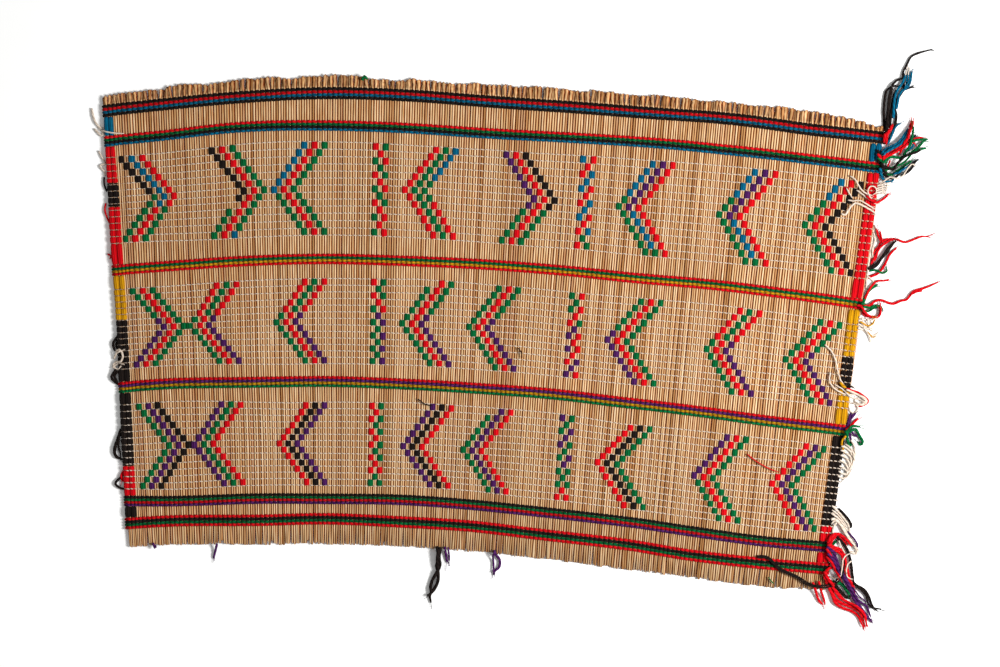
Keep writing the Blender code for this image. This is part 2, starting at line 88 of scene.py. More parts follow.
# How far the stalks have strayed sideways from straight, under the head, at the middle of each register and
# over the foot. A measuring script fitted these numbers to the photograph: they were not chosen by hand
Drift = namedtuple("Drift", "pair head upper middle lower foot")
DRIFT_LEVELS = (165.0, 100.0, 0.0, -95.0, -165.0)
DRIFTS = (
    Drift(0, -0.2, 0.7, 2.5, 1.9, 1.5),
    Drift(4, -2.2, -2.2, -1.8, -1.3, -1.3),
    Drift(9, -0.7, -0.7, -1.6, -1.3, -1.3),
    Drift(13, -0.9, -0.9, -1.2, -0.8, -0.8),
    Drift(17, -1.3, -1.3, 1.0, 1.1, 1.1),
    Drift(21, -1.7, -1.7, -0.0, 1.2, 1.2),
    Drift(25, -1.1, -1.1, 0.2, 1.6, 1.6),
    Drift(31, -0.4, -0.4, 0.6, 2.3, 2.3),
    Drift(36, -0.6, -0.6, 0.5, 1.6, 1.6),
    Drift(43, -0.0, -0.0, 0.2, 1.2, 1.2),
    Drift(54, 0.6, 0.6, 1.2, 1.1, 1.1),
    Drift(62, 0.7, 0.7, 1.3, 0.8, 0.8),
    Drift(69, 0.3, 0.3, 1.2, 0.6, 0.6),
    Drift(76, 1.0, 1.0, 0.7, 0.4, 0.4),
    Drift(83, 0.3, 0.3, 0.0, -0.7, -0.7),
    Drift(88, 1.2, 1.2, 0.1, -0.5, -0.5),
    Drift(95, 2.3, 2.3, 0.5, -0.2, -0.2),
    Drift(104, 1.3, 1.3, 0.5, 0.1, 0.1),
    Drift(112, 1.8, 1.8, 1.7, 1.8, 1.8),
    Drift(123, -1.6, -1.6, -1.2, -1.4, -1.4),
    Drift(133, 0.1, 0.1, -1.2, -0.9, -0.9),
    Drift(141, 0.2, 0.2, 1.3, 1.4, 1.4),
    Drift(147, 1.5, 1.5, 1.9, 2.1, 2.1),
    Drift(150, 1.3, 1.3, 1.7, 1.0, 1.0),
    Drift(154, 0.3, 1.7, -0.0, -0.6, -0.5),
)

# The heights of the head, the six bands and the foot at some pairs. The bands' heights were read off by eye,
# and then a measuring script corrected them
Station = namedtuple("Station", "pair head a b c d e f foot")
STATIONS = (
    Station(0, 193.0, 181.6, 157.2, 54.0, -39.7, -130.5, -148.5, -167.0),
    Station(12, 200.5, 186.9, 162.2, 57.6, -36.4, -130.5, -146.2, -165.0),
    Station(28, 206.5, 192.9, 169.0, 61.7, -35.5, -128.6, -145.9, -165.0),
    Station(44, 209.5, 196.0, 170.1, 63.3, -34.8, -128.7, -144.7, -165.0),
    Station(60, 206.5, 194.0, 167.9, 61.7, -36.8, -129.5, -147.1, -166.5),
    Station(76, 202.5, 189.1, 163.7, 58.9, -40.3, -133.5, -150.6, -170.5),
    Station(92, 198.5, 184.6, 160.3, 54.1, -44.8, -139.5, -157.4, -176.5),
    Station(108, 194.0, 179.8, 156.3, 47.7, -52.1, -146.4, -164.4, -184.0),
    Station(124, 188.0, 175.3, 150.5, 42.4, -59.2, -154.7, -173.6, -191.0),
    Station(140, 181.0, 166.6, 143.2, 34.6, -67.7, -163.1, -180.7, -199.0),
    Station(154, 169.0, 160.3, 136.0, 26.7, -74.1, -167.5, -184.9, -201.5),
)

# Painted light on each row, as the share of its own tone that the row shows: painted shade where its
# neighbours crowd over it, and a little painted light where it stands clear of them
Band = namedtuple("Band", "line pitch colours keeps")
BANDS = (
    Band("a", 2.4, ("black", "red", "blue", "black"), (1.0, 0.75, 0.86, 1.0)),
    Band("b", 2.1, ("red", "green", "black", "blue"), (1.05, 0.92, 1.0, 1.0)),
    Band("c", 2.1, ("red", "green", "yellow", "red"), (0.97, 0.9, 0.85, 1.0)),
    Band("d", 2.2, ("red", "purple", "yellow", "green"), (0.9, 1.15, 0.7, 1.1)),
    Band("e", 2.1, ("black", "green", "red", "purple"), (1.05, 0.8, 0.68, 1.05)),
    Band("f", 2.3, ("red", "black", "green", "red"), (0.93, 1.05, 0.78, 0.88)),
)

# Each register's cream rows lie from under the band above it to over the band below it, nearly evenly. A
# ripple says how far the mat strays from that at the pairs given: the first is half a row down, and each next
# one three rows lower. A measuring script fitted the ripples to the photograph: they were not chosen by hand
RIPPLE_START, RIPPLE_STEP = 0.5, 3
Register = namedtuple("Register", "above below first last ripples")
RIPPLE_PAIRS = (4, 11, 22, 36, 54, 62, 77, 85, 95, 107, 127, 143, 149)
REGISTERS = (
    Register("b", "c", -14.4, 18.4, (
        (1.3, 0.4, 0.3, 1.5, 1.3, 0.8, 1.4, 0.6, 0.6, 0.2, 1.7, 2.3, 1.8),
        (1.0, 0.7, -0.4, 0.4, 1.2, 1.4, 0.8, -0.2, -0.2, -0.7, 0.6, 0.7, 0.7),
        (2.0, 1.5, 0.3, 0.6, 1.7, 1.8, 0.5, 0.5, -0.4, -0.5, 0.3, 0.0, 0.7),
        (2.8, 2.2, 1.1, 0.9, 1.9, 1.8, 0.0, 0.8, -0.1, -0.0, 0.1, 0.2, 1.1),
        (3.1, 2.0, 0.2, 0.7, 0.9, 0.4, -0.7, -1.2, -0.1, -0.1, 0.0, 1.7, 2.1),
    )),
    Register("c", "d", -16.6, 13.3, (
        (1.1, 0.5, 0.8, 0.9, 1.2, 2.4, 0.7, 0.4, -0.1, 0.8, 1.0, 0.5, 0.0),
        (0.8, 0.2, -0.1, 0.3, 1.2, 1.0, 0.3, 0.3, -0.5, 0.4, 1.1, 0.3, 0.4),
        (0.8, 0.1, 0.0, 0.6, 0.8, 0.7, 0.7, 0.8, -0.3, 0.2, 1.2, 0.9, 1.7),
        (1.1, 0.1, 0.6, 0.8, 0.7, 1.0, 1.4, 1.2, 0.1, 0.4, 1.5, 2.4, 3.0),
        (1.3, 1.2, 1.6, 0.7, 1.5, 2.1, 1.8, 1.7, 1.0, 1.4, 3.1, 4.7, 4.2),
    )),
    Register("d", "e", -16.5, 10.0, (
        (2.4, 2.2, 1.6, -0.4, 0.6, 1.9, 1.7, 1.6, 1.2, -0.6, 1.4, 2.9, 2.2),
        (0.8, 1.5, 1.5, -0.2, 0.4, 0.6, 0.3, 0.9, 1.0, 0.3, -0.0, 2.4, 1.2),
        (0.1, 0.8, 1.3, 0.5, 0.4, -0.1, -0.1, 0.7, 0.7, 0.5, -0.4, 2.5, 1.7),
        (-0.4, -0.2, 0.9, 0.9, 0.3, -0.2, 0.3, 0.5, 0.5, 0.4, 0.0, 2.4, 2.0),
        (-0.2, -0.5, 0.5, 1.0, 0.4, 1.0, 1.1, 0.5, 0.9, 0.2, 1.3, 0.9, 1.2),
    )),
)

# The coloured stretches of the edges, as shares of the way from the upper band down, as in the part
Wrap = namedtuple("Wrap", "side above below start end colour")
WRAPS = (
    Wrap("left", "a", "b", 0.0, 1.0, "blue"),
    Wrap("left", "b", "c", 0.0, 0.31, "red"),
    Wrap("left", "b", "c", 0.31, 0.51, "black"),
    Wrap("left", "b", "c", 0.51, 1.0, "red"),
    Wrap("left", "c", "d", 0.0, 0.42, "yellow"),
    Wrap("left", "c", "d", 0.42, 1.0, "black"),
    Wrap("left", "d", "e", 0.0, 0.71, "black"),
    Wrap("left", "d", "e", 0.71, 1.0, "red"),
    Wrap("left", "e", "f", 0.0, 1.0, "black"),
    Wrap("right", "a", "b", 0.0, 1.0, "blue"),
    Wrap("right", "b", "c", 0.0, 1.0, "red"),
    Wrap("right", "c", "d", 0.0, 0.41, "yellow"),
    Wrap("right", "c", "d", 0.41, 0.69, "black"),
    Wrap("right", "c", "d", 0.69, 1.0, "yellow"),
    Wrap("right", "d", "e", 0.0, 0.85, "black"),
    Wrap("right", "d", "e", 0.85, 1.0, "red"),
    Wrap("right", "e", "f", 0.0, 1.0, "red"),
)

# The wraps' outer and inner sides, from the line of the outermost stalk, at the levels of the drifts
WRAP_REACH = {
    "left": ((0.1, -0.9, -1.4, -1.9, -1.4), (7.3, 8.2, 7.5, 7.1, 7.6)),
    "right": ((-0.3, -0.9, -1.2, 0.2, -0.7), (-9.2, -9.9, -10.1, -9.3, -9.8)),
}

# A chevron is three strands of laid-in wool, two pairs apart, that step one pair a row to its point and back.
# The point is at the pair given. A strand is charted from the head down by the wool and the number of blocks
MOTIF_ROWS = 13
STRANDS_APART = 2
Chevron = namedtuple("Chevron", "register points pair left middle right")
CHEVRONS = (
    Chevron(1, "right", 13, "black 6 green 7", "blue 8 red 5", "red 8 green 5"),
    Chevron(1, "right", 31, "black 8 none 1 green 4", "red 13", "green 12 blue 1"),
    Chevron(1, "left", 33, "blue 7 green 6", "red 13", "green 13"),
    Chevron(1, "left", 59, "red 13", "green 13", "blue 5 green 3 red 5"),
    Chevron(1, "right", 89, "purple 8 green 5", "red 13", "black 8 green 5"),
    Chevron(1, "left", 102, "blue 5 green 8", "purple 7 blue 5 green 1", "red 13"),
    Chevron(1, "left", 123, "blue 4 green 9", "purple 7 blue 5 green 1", "red 13"),
    Chevron(1, "left", 140, "blue 3 green 10", "red 13", "black 13"),
    Chevron(2, "right", 14, "green 5 purple 8", "red 13", "green 13"),
    Chevron(2, "left", 15, "red 5 green 8", "green 5 red 8", "red 5 purple 8"),
    Chevron(2, "left", 33, "red 5 green 8", "green 5 red 8", "red 5 purple 8"),
    Chevron(2, "left", 59, "none 1 green 12", "red 13", "green 5 purple 8"),
    Chevron(2, "left", 73, "green 13", "red 13", "green 5 purple 8"),
    Chevron(2, "left", 102, "green 5 purple 8", "red 13", "green 13"),
    Chevron(2, "left", 123, "red 5 green 8", "green 5 red 8", "red 5 purple 8"),
    Chevron(2, "left", 139, "green 13", "red 13", "green 5 purple 8"),
    Chevron(3, "right", 14, "green 13", "purple 13", "black 13"),
    Chevron(3, "left", 15, "purple 13", "green 13", "red 13"),
    Chevron(3, "left", 33, "red 13", "black 13", "purple 13"),
    Chevron(3, "left", 60, "purple 13", "black 13", "red 13"),
    Chevron(3, "left", 73, "none 1 green 12", "purple 13", "red 13"),
    Chevron(3, "left", 102, "red 13", "black 13", "green 13"),
    Chevron(3, "left", 123, "purple 7 green 6", "red 13", "green 13"),
    Chevron(3, "left", 139, "red 13", "purple 13", "green 13"),
)

# A column has a block at each side of its pair in one row and one block on it in the next
Column = namedtuple("Column", "register pair left middle right")
COLUMNS = (
    Column(1, 54, "red 1 green 1 red 1 green 1 red 1 green 2", "red 1 green 1 red 1 green 1 red 2",
           "green 1 red 1 green 1 red 1 green 1 red 2"),
    Column(1, 95, "blue 1 red 1 blue 1 red 1 blue 1 red 2", "red 1 blue 1 red 1 blue 1 red 1 green 1",
           "red 1 blue 1 red 1 blue 1 red 1 blue 1 green 1"),
    Column(2, 54, "red 2 green 5", "green 1 red 1 purple 1 green 3", "green 2 red 1 purple 4"),
    Column(2, 95, "green 2 red 1 purple 2 red 1 purple 1", "green 1 red 1 purple 1 red 2 purple 1",
           "red 2 green 1 red 2 purple 1 red 1"),
    Column(3, 54, "red 6 green 1", "red 1 green 1 red 1 green 1 red 1 green 1",
           "green 5 red 1 green 1"),
    Column(3, 95, "purple 1 green 1 purple 1 green 3 red 1",
           "green 1 purple 1 green 1 purple 1 green 1 red 1",
           "green 1 purple 1 green 1 purple 1 green 2 red 1"),
)

# The loose ends, by the part's bunch: the wool and width of each strand, and its way as x and y by turns, in
# the photograph's pixels. The last bunch is single fibres and bits of wool that lie on the mat
STRANDS = {
    "band_a": (
        ("black", 2.0, 885.6, 131, 884.4, 113, 885.6, 98.3, 887.2, 90.6, 892.2, 86.4),
        ("black", 2.2, 887.2, 129, 888.3, 112, 890.2, 98.3, 892.8, 87.5),
        ("black", 2.4, 889.4, 128, 891.4, 112, 893.3, 98.5, 896.1, 89.6),
        ("black", 1.7, 886.5, 130, 888.2, 115, 889, 100, 892.2, 86.1, 895, 82.8, 897.8, 80, 903.3, 77.8,
         903.9, 71.7, 906.1, 67.2, 908.9, 61.7, 911.7, 56.7, 916.7, 53.7, 924.4, 51.1, 933.3, 48.9),
        ("black", 2.0, 888.9, 141.7, 893.9, 130.6, 896.1, 121.7, 896.7, 113.9, 895, 107.2, 896.7, 100.6,
         901.1, 93.9, 904.4, 89.4, 908.9, 87.8, 914.4, 86.1),
        ("black", 1.5, 903.6, 74, 903.3, 77.8, 904.4, 83.9, 903.9, 88.3),
        ("black", 1.5, 890.5, 87.5, 894, 85.8, 898.9, 86.1, 902, 85),
        ("black", 2.4, 885.5, 134, 887, 128, 887.5, 119),
        ("blue", 1.9, 893.9, 118, 893.9, 107.2, 895.3, 97.2, 898.2, 89.4, 902.2, 83.9, 904.9, 78.3, 906.6,
         71.7),
        ("blue", 1.7, 896.6, 109, 898.3, 100.6, 899.8, 93.9, 903.3, 89.8, 907.8, 86.9, 910.8, 81.7, 912.3,
         73.5, 913.2, 71),
        ("blue", 1.5, 906.7, 87.2, 907.6, 79, 908.6, 74, 911.1, 71.5),
        ("blue", 1.2, 904.5, 88, 909.5, 80, 909.8, 72.5),
        ("cream", 0.8, 905.5, 75, 907.5, 69, 909.2, 64.3),
        ("cream", 0.8, 908.5, 75, 909.5, 70, 911, 66.5),
        ("red", 2.5, 882.8, 137.2, 886.1, 135, 889.4, 130.6, 892.8, 124.4),
        ("red", 2.2, 886.7, 132.8, 886.1, 138.3, 886.7, 144.4),
        ("red", 1.9, 884.4, 134, 884, 139, 883.9, 142.8),
    ),
    "band_b": (
        ("black", 2.2, 877, 150, 880.5, 157, 883.5, 165),
        ("red", 1.9, 877, 154, 881, 158.5, 886, 160),
        ("black", 2.0, 877, 160, 881, 164, 885, 169, 888, 173),
        ("green", 1.7, 877, 158, 882, 161.5, 888, 162.5),
        ("blue", 2.5, 882, 154, 884.4, 150.6, 890, 147.2, 896.7, 143.9, 902.2, 138.3, 906.7, 131.7, 908.3,
         128.3),
        ("blue", 2.0, 883, 156, 885.6, 152.8, 892.2, 148.3, 898.9, 145, 904.4, 139.4, 908.9, 132.8),
        ("blue", 1.5, 888, 144, 891.1, 137.2, 894.4, 129.4, 897.8, 125, 901.1, 122.8),
        ("blue", 1.5, 905, 152, 911.1, 148.3, 914.4, 142.8, 916.1, 136.5),
        ("black", 1.7, 909, 142, 913.3, 137, 916.7, 135.3),
        ("red", 2.2, 882, 159, 884.4, 156.1, 890, 152.8, 896.7, 149.4, 901.1, 146.1, 906.7, 142.2, 908.9,
         139.7),
        ("red", 2.0, 903, 145, 906.7, 139.4, 908.9, 132.8, 911.1, 126.1, 912, 120.6),
        ("red", 1.7, 907.3, 139, 910, 131, 912.8, 125, 913.8, 120.9),
        ("red", 2.0, 882, 160, 886.7, 156.7, 895.6, 151.9, 902.2, 148.5, 907.8, 144.1, 912.2, 141.9, 915.6,
         143.9),
        ("red", 1.5, 908.9, 141.7, 914.4, 138.9, 920, 137.2, 923.9, 137.4),
        ("red", 1.5, 899.4, 155, 900.6, 152, 901.7, 149.4),
        ("red", 1.4, 887.5, 167, 889.4, 163, 890.8, 160),
        ("green", 2.2, 881, 165, 883.3, 162, 888.9, 157.4, 894.4, 156.9, 900, 157.8, 906.7, 155, 914.4, 150.6,
         920, 145, 924.4, 140.6, 928.3, 138.9),
        ("green", 1.9, 903.3, 155.5, 908.9, 147.2, 911.1, 141.7, 912.8, 133.9, 913.3, 126.5),
        ("green", 1.7, 912.2, 141.7, 916.7, 140, 923.3, 139.4, 928, 139),
        ("green", 1.9, 908, 154.5, 912, 152.5, 917.8, 150.6, 922.2, 148.9, 926.7, 148.1),
        ("green", 1.7, 882, 172, 885, 170.5, 890, 168.3, 895.6, 166.1, 903.3, 162.8, 908.9, 157.2, 912.2,
         151.7),
        ("green", 1.9, 881, 175.4, 885.6, 174.4, 892.2, 174.4, 897.8, 170.6, 905.6, 165, 912.2, 160.6),
        ("black", 1.9, 881, 165, 888, 168, 893.3, 169.4, 896.7, 163.9, 903.3, 157.2, 910, 154.4, 916.7, 152.2,
         920, 150),
        ("black", 1.9, 881.5, 163, 884.4, 172.8, 888.9, 178.3, 895.6, 177.2, 901.1, 170.6, 904.4, 166.1),
        ("black", 2.0, 902, 175.8, 905.6, 173.5, 911.1, 169.4, 914.4, 165),
        ("blue", 1.7, 893, 174, 897.8, 172.8, 903.3, 169.4, 908.9, 166.1, 914.4, 161.9, 918, 160),
        ("black", 1.7, 911, 165.5, 914.5, 162.4, 918.9, 159),
        ("blue", 2.2, 879.5, 168, 880.6, 171, 882.2, 177.2, 886.7, 181.1, 891.1, 181.1, 893.9, 179.4),
        ("cream", 1.1, 879.6, 183.7, 885.6, 180, 890, 177.2, 897.8, 178.9, 903.3, 175, 906.7, 169.4, 911.1,
         164.4, 914.4, 164.4),
    ),
    "cream_1_head": (
        ("cream", 1.0, 877, 186, 884, 183.8, 891, 182.4),
        ("cream", 1.0, 876.5, 188.5, 885, 186, 892, 184.8),
        ("cream", 0.9, 876.5, 190.5, 884, 188.6, 890.5, 187.4),
        ("cream", 1.0, 876, 193, 883, 191, 889.5, 190.2),
        ("cream", 0.8, 876, 195, 882, 193.6, 887.8, 193.6),
        ("cream", 0.8, 883, 182, 882.5, 188, 884, 194),
        ("cream", 0.8, 887.4, 182.5, 887, 188, 885.5, 194),
        ("cream", 1.1, 856.5, 190, 861.8, 194, 867, 198.3, 873.9, 203, 877.3, 204.6, 880.7, 203),
        ("cream", 1.1, 849.7, 176, 854.5, 179, 858.4, 185.7, 861.8, 190.5, 867, 194, 872, 195.4),
        ("cream", 1.0, 871.5, 199.3, 868.5, 194.5, 867.8, 190, 870, 186.6, 873.5, 186.4, 876.3, 189.2, 875.8,
         193, 872.5, 194.8),
        ("cream", 1.5, 841.5, 213.3, 844.8, 214.8, 850.2, 207, 855, 203, 860.4, 204.6, 867, 208, 874.9,
         212.8),
        ("cream", 1.1, 847.8, 200, 852.6, 201, 859.4, 200.7, 864.2, 203, 875.9, 210),
        ("cream", 1.0, 846.3, 188, 849.7, 194.4, 852.6, 198.3),
        ("red", 1.8, 866, 196, 871, 200.7, 875.9, 202.7, 881.7, 200, 886, 196.8, 889, 193),
    ),
    "cream_1_foot": (
        ("red", 1.8, 869, 268, 871, 264, 874, 261.6, 877, 255, 878.8, 247.8, 881.8, 241.8, 887.2, 239.4,
         896.8, 239.4, 905.8, 242.4, 913, 240, 920.7, 237, 926, 236.4, 931.5, 237.3),
        ("red", 1.4, 881.8, 241.8, 879, 235, 876.8, 228),
        ("red", 1.4, 881.8, 241.8, 881, 236, 880.2, 231),
        ("red", 1.6, 869, 264, 872.8, 255, 876.4, 249, 881.2, 246, 888.4, 242.4),
        ("black", 2.3, 869, 270, 877, 265, 881.2, 259, 887.2, 252, 892, 245.4, 896.2, 240.6),
        ("red", 2.0, 868, 278, 872.2, 276, 878.8, 273, 884.8, 265.2, 888.4, 258, 890.8, 253.8, 897.4, 247.5),
        ("green", 1.6, 869, 271, 876.4, 270, 882.4, 273, 887.2, 271.2, 886, 266.4),
        ("cream", 1.7, 875, 225, 872.8, 236, 870.6, 252.8, 868.6, 266, 867.4, 279.4, 866.9, 289.4),
        ("cream", 1.1, 875.5, 226, 877, 235, 874.5, 246, 871.5, 258),
        ("cream", 1.1, 874, 232, 875.5, 240, 872.8, 250, 873.5, 259),
        ("cream", 1.1, 867, 276, 872, 279, 874, 283, 869, 289),
        ("black", 2.2, 868, 269, 876, 264.6, 882, 257.5, 888, 248.8, 894.6, 241.8),
        ("red", 1.7, 871, 264, 876, 255, 880, 248, 886, 242.4, 893, 239.6),
        ("red", 1.5, 881.5, 243, 878.5, 236, 876.2, 228.5),
        ("red", 1.4, 882.5, 243, 881.4, 237, 880.4, 231),
    ),
    "band_c": (
        ("green", 2.4, 861, 305, 863, 303, 866, 297, 868.5, 292, 872, 288.5, 878.8, 284.6),
        ("green", 2.2, 861, 303, 867.2, 306, 871.7, 308.5, 876, 307, 880, 306, 883, 309),
        ("red", 2.0, 860, 306, 861.7, 307.2, 863.9, 313.9, 869.4, 316.3, 879.4, 315.8, 880.6, 302.8),
        ("red", 1.6, 865, 299, 869.2, 289.8, 874, 283.8, 878.2, 281, 885.4, 280.8, 889.9, 279.3),
        ("red", 2.0, 863, 306, 869.8, 305.3, 875.2, 301, 881.8, 299.9, 888.4, 302.3, 893.8, 303.5, 901, 300.5,
         907, 299.3, 910.6, 295, 914.7, 291, 924.9, 288, 938.7, 282.3),
        ("red", 1.2, 910.6, 295, 917, 292, 923, 291),
        ("green", 1.8, 862, 307, 865.6, 307, 870.4, 307.7, 875.8, 305.3, 880, 307, 883, 309),
        ("green", 1.6, 861, 310, 867.4, 311.3, 873.4, 309),
        ("red", 1.8, 856, 305.3, 860.8, 306.5, 864.4, 312, 869.8, 316, 876, 317.5, 879.4, 316, 881, 311, 880,
         306),
    ),
    "cream_2_head": (
        ("cream", 1.4, 859, 317, 867, 320, 876.5, 318.5),
        ("cream", 1.3, 858.5, 320.5, 868, 324, 874.5, 322.5),
        ("cream", 1.3, 858, 324, 867, 328, 872, 328.5),
        ("cream", 1.4, 858, 328, 866, 331, 870, 335.5, 877.5, 334.8),
        ("cream", 1.2, 866, 330, 870, 337, 870.8, 342.5),
        ("cream", 1.2, 862, 317, 863.5, 324, 866, 331),
        ("cream", 1.2, 868, 317.5, 868.5, 324, 871, 329.5),
        ("yellow", 1.1, 860, 321.5, 868, 326, 873, 324, 875.5, 319.5),
        ("yellow", 0.9, 868, 331.5, 873.5, 337.5, 877, 335.5),
    ),
    "cream_2_foot": (
        ("cream", 1.2, 824.8, 344.5, 831.6, 351.3, 835.6, 360.7, 837.6, 371, 841, 381.7, 845, 384.4, 855.9,
         386.4),
        ("cream", 1.2, 830.2, 372, 829.5, 381, 833.6, 387.8, 841, 392.5, 848.5, 395.2),
        ("cream", 1.0, 834.3, 384.4, 841.7, 388.5, 846.4, 392.5),
        ("yellow", 2.2, 840, 382, 842, 385, 846, 388),
        ("red", 1.5, 845.7, 388.5, 852.5, 390.5, 860, 393, 868.7, 400.6, 864.7, 405.4, 859.3, 407.4),
        ("cream", 1.2, 848, 395, 855, 394.5, 863, 396.5, 867.5, 401, 864, 405, 857, 404, 855.5, 399.5, 860,
         397.5),
        ("cream", 1.2, 850, 400, 849.5, 406, 851, 411, 855, 413, 858.5, 409.5, 857, 404.5, 852, 403.5),
        ("cream", 1.5, 846, 389.5, 853, 392.5, 861, 396.5, 866, 401, 862, 404.5, 857, 403),
        ("cream", 1.2, 845, 392, 852, 397.5, 859, 399.5, 864.5, 402),
        ("black", 1.4, 844, 383.5, 849, 385.5, 854, 388),
    ),
    "band_d": (
        ("purple", 2.5, 844.5, 430, 847.2, 427.2, 850.6, 419.4, 856, 412.8),
        ("purple", 1.7, 848, 424, 850, 416.5, 852, 413.5),
        ("red", 2.0, 845, 430, 848.3, 428.3, 853.9, 422.8, 858.9, 418.3),
        ("green", 2.0, 844, 432, 847.2, 430.6, 852.8, 426.1, 860.6, 427.2),
        ("green", 2.2, 845, 433, 848.3, 431.7, 856, 429.4, 859.4, 435, 863.3, 441.7, 860.8, 445, 859.4,
         441.7),
        ("green", 2.2, 845, 431, 846.2, 433, 847.2, 439.4, 850.6, 446, 852, 441.7),
        ("purple", 2.0, 848, 430.5, 849.6, 434.5, 851.7, 441.7),
        ("purple", 1.7, 850, 431, 853, 433.5, 857.8, 437.2),
        ("yellow", 1.5, 845.5, 435.5, 841.4, 441.7, 842.8, 449.4, 844.4, 453.9),
    ),
    "cream_3_head": (
        ("cream", 1.4, 841, 446, 846, 447.5, 851, 452, 853.5, 459, 851.5, 466),
        ("cream", 1.4, 840.5, 450, 847, 453, 851.5, 458.5, 851, 466, 848, 472),
        ("cream", 1.5, 840.5, 455, 846, 457.5, 849.5, 463, 849.5, 470, 846, 476),
        ("cream", 1.4, 839.5, 460, 845, 463, 848, 468, 847, 475, 843, 480.5),
        ("cream", 1.3, 839.5, 466, 844, 468, 847.5, 471.5, 852, 470.5),
        ("cream", 1.3, 838.5, 471, 844, 474, 848.5, 474.5, 851.5, 471.5),
        ("cream", 1.3, 838, 476, 843.5, 478.5, 847, 477, 850, 473.5),
        ("cream", 1.5, 851, 440, 855, 446, 855.5, 455, 853.5, 463, 849.5, 470),
        ("cream", 1.3, 845, 444, 850, 447, 853.5, 452.5, 854.5, 460),
    ),
    "cream_3_foot": (
        ("cream", 1.4, 832, 505.5, 834.4, 507.8, 838.9, 512.2, 844.4, 518.9, 848.9, 525.6, 850, 532.2),
        ("cream", 1.3, 831, 513, 836, 516.5, 841, 521, 846.7, 529, 849, 533.5),
        ("cream", 1.1, 832, 510, 838, 514.5, 843.5, 521, 847.5, 528),
        ("black", 2.0, 839, 509, 844.4, 514.4, 848.9, 520, 851.7, 525.6, 851.1, 528.5),
    ),
    "corner": (
        ("cream", 2.0, 831, 519.5, 833.3, 518.9, 838.9, 522.2, 844.4, 533.3, 850, 541.1, 855.6, 547.8, 857.8,
         551.1, 855.6, 553.6, 848.9, 550.4, 842.2, 542.2),
        ("cream", 1.7, 832.5, 533, 834.4, 526.7, 837.5, 522, 843, 527.5, 848, 536.5, 853.5, 545, 856, 549.5),
        ("cream", 1.2, 831, 524, 835.5, 520.5, 840.5, 525, 845.5, 533.5, 851, 541.5, 855.2, 546.5),
        ("purple", 1.4, 848, 532, 850.3, 534.4, 854.4, 538.9, 857.8, 544.4, 858.3, 547.8),
        ("red", 2.4, 828.3, 545.6, 828.9, 540, 833.3, 534.8, 838.9, 534.2, 844.4, 537.8, 848.9, 542.2, 852.2,
         546.7),
        ("red", 1.9, 828.9, 546.5, 831, 541.5, 834.6, 537.6, 839, 537.2, 843.5, 540.5, 847.8, 545),
        ("green", 1.9, 832, 547, 835, 543, 837.8, 541.1),
        ("black", 2.2, 837, 537, 842.2, 542.2, 846.7, 548.9, 850, 557.8, 851.7, 566.7, 852.8, 575.6, 854.4,
         584.4),
        ("red", 2.5, 827, 544, 835.6, 547.8, 841.1, 550, 844.4, 554.4, 845.6, 562.2, 847.8, 571.1, 850, 580,
         853.3, 586.7, 855.6, 594.4),
        ("red", 1.9, 827, 547, 836, 550.7, 842, 555.4, 843.3, 563, 846, 573, 849, 582),
        ("purple", 2.4, 826, 546.5, 829.4, 548.9, 834.4, 553.3, 836.7, 560, 838.3, 565.6, 841.1, 571.1, 846,
         579, 850.5, 588, 855, 597, 860, 606, 866, 614, 873.3, 623),
        ("purple", 2.0, 827, 551, 832.5, 556, 835, 563, 838, 571.5, 844, 580.5, 849.3, 589.5, 854, 599, 859.5,
         608.5, 865.5, 616.5, 871.5, 621.5),
        ("purple", 1.9, 842, 574, 847.5, 583, 853, 592, 859, 601, 866.7, 606.7, 869, 612, 871.1, 617.8),
        ("red", 2.4, 828, 582, 830.5, 586.6, 833.3, 594.4, 836.7, 600, 844.4, 604.4, 853.3, 607.8, 860, 612.2,
         863.3, 620, 865.6, 627),
        ("red", 2.2, 825.5, 581, 828, 586, 832, 594, 835.5, 603, 843, 608, 852, 611.2, 858.5, 616, 861.5,
         622.5, 863.8, 627.5),
        ("red", 2.2, 829, 579.5, 831.5, 583, 837, 592.5, 843, 599.5, 851, 604, 858.8, 608.6, 864, 614.5, 866,
         622, 867.5, 627.3),
        ("red", 2.0, 828, 578, 834.5, 590, 840, 597.5, 848, 602, 856, 606, 862.5, 613),
        ("red", 2.0, 812.5, 582, 815.6, 591.1, 818.9, 600, 823.3, 605),
        ("red", 2.0, 818.5, 581, 821.1, 591.1, 823.9, 597.8, 825.6, 605),
        ("red", 2.0, 834.4, 566.7, 828.9, 568.3, 825, 572.2, 824.4, 577.8, 827.8, 582),
        ("green", 2.4, 833, 581, 836.7, 583.3, 842.2, 584.4, 847.8, 592.2, 849.4, 594.6),
        ("black", 2.4, 834, 583, 837.8, 587.8, 842.2, 593.3, 847.8, 597.8, 850.5, 599),
        ("black", 2.0, 854, 583, 856.7, 585.6, 864.4, 590, 868.9, 596.7, 872.2, 605.6, 876.7, 611.1),
        ("black", 1.5, 857, 587, 860, 588.9, 866.7, 596.7, 867.8, 603.3, 872.2, 607.8, 881.7, 609.4),
        ("purple", 1.1, 853, 587, 855.6, 591.1, 860, 596.7, 866.7, 602.2),
        ("black", 1.3, 757, 556, 768, 557, 780, 568, 796, 575.5, 806.7, 582.2, 813.3, 585, 822.2, 585.6,
         831.1, 583.9, 837.8, 578.9, 842.2, 573.3, 844.4, 566.7, 844.4, 560),
        ("black", 1.3, 757, 557.5, 768, 558.5, 780, 569.8, 796, 577.2, 806.7, 584, 822, 587.4, 832, 585.6,
         839, 580.4, 843.3, 574.6),
        ("cream", 1.0, 829.4, 576.7, 834.4, 578.3, 840, 575.6, 842.2, 566.7, 843.3, 558.9, 847.8, 554.4,
         850.6, 553.9),
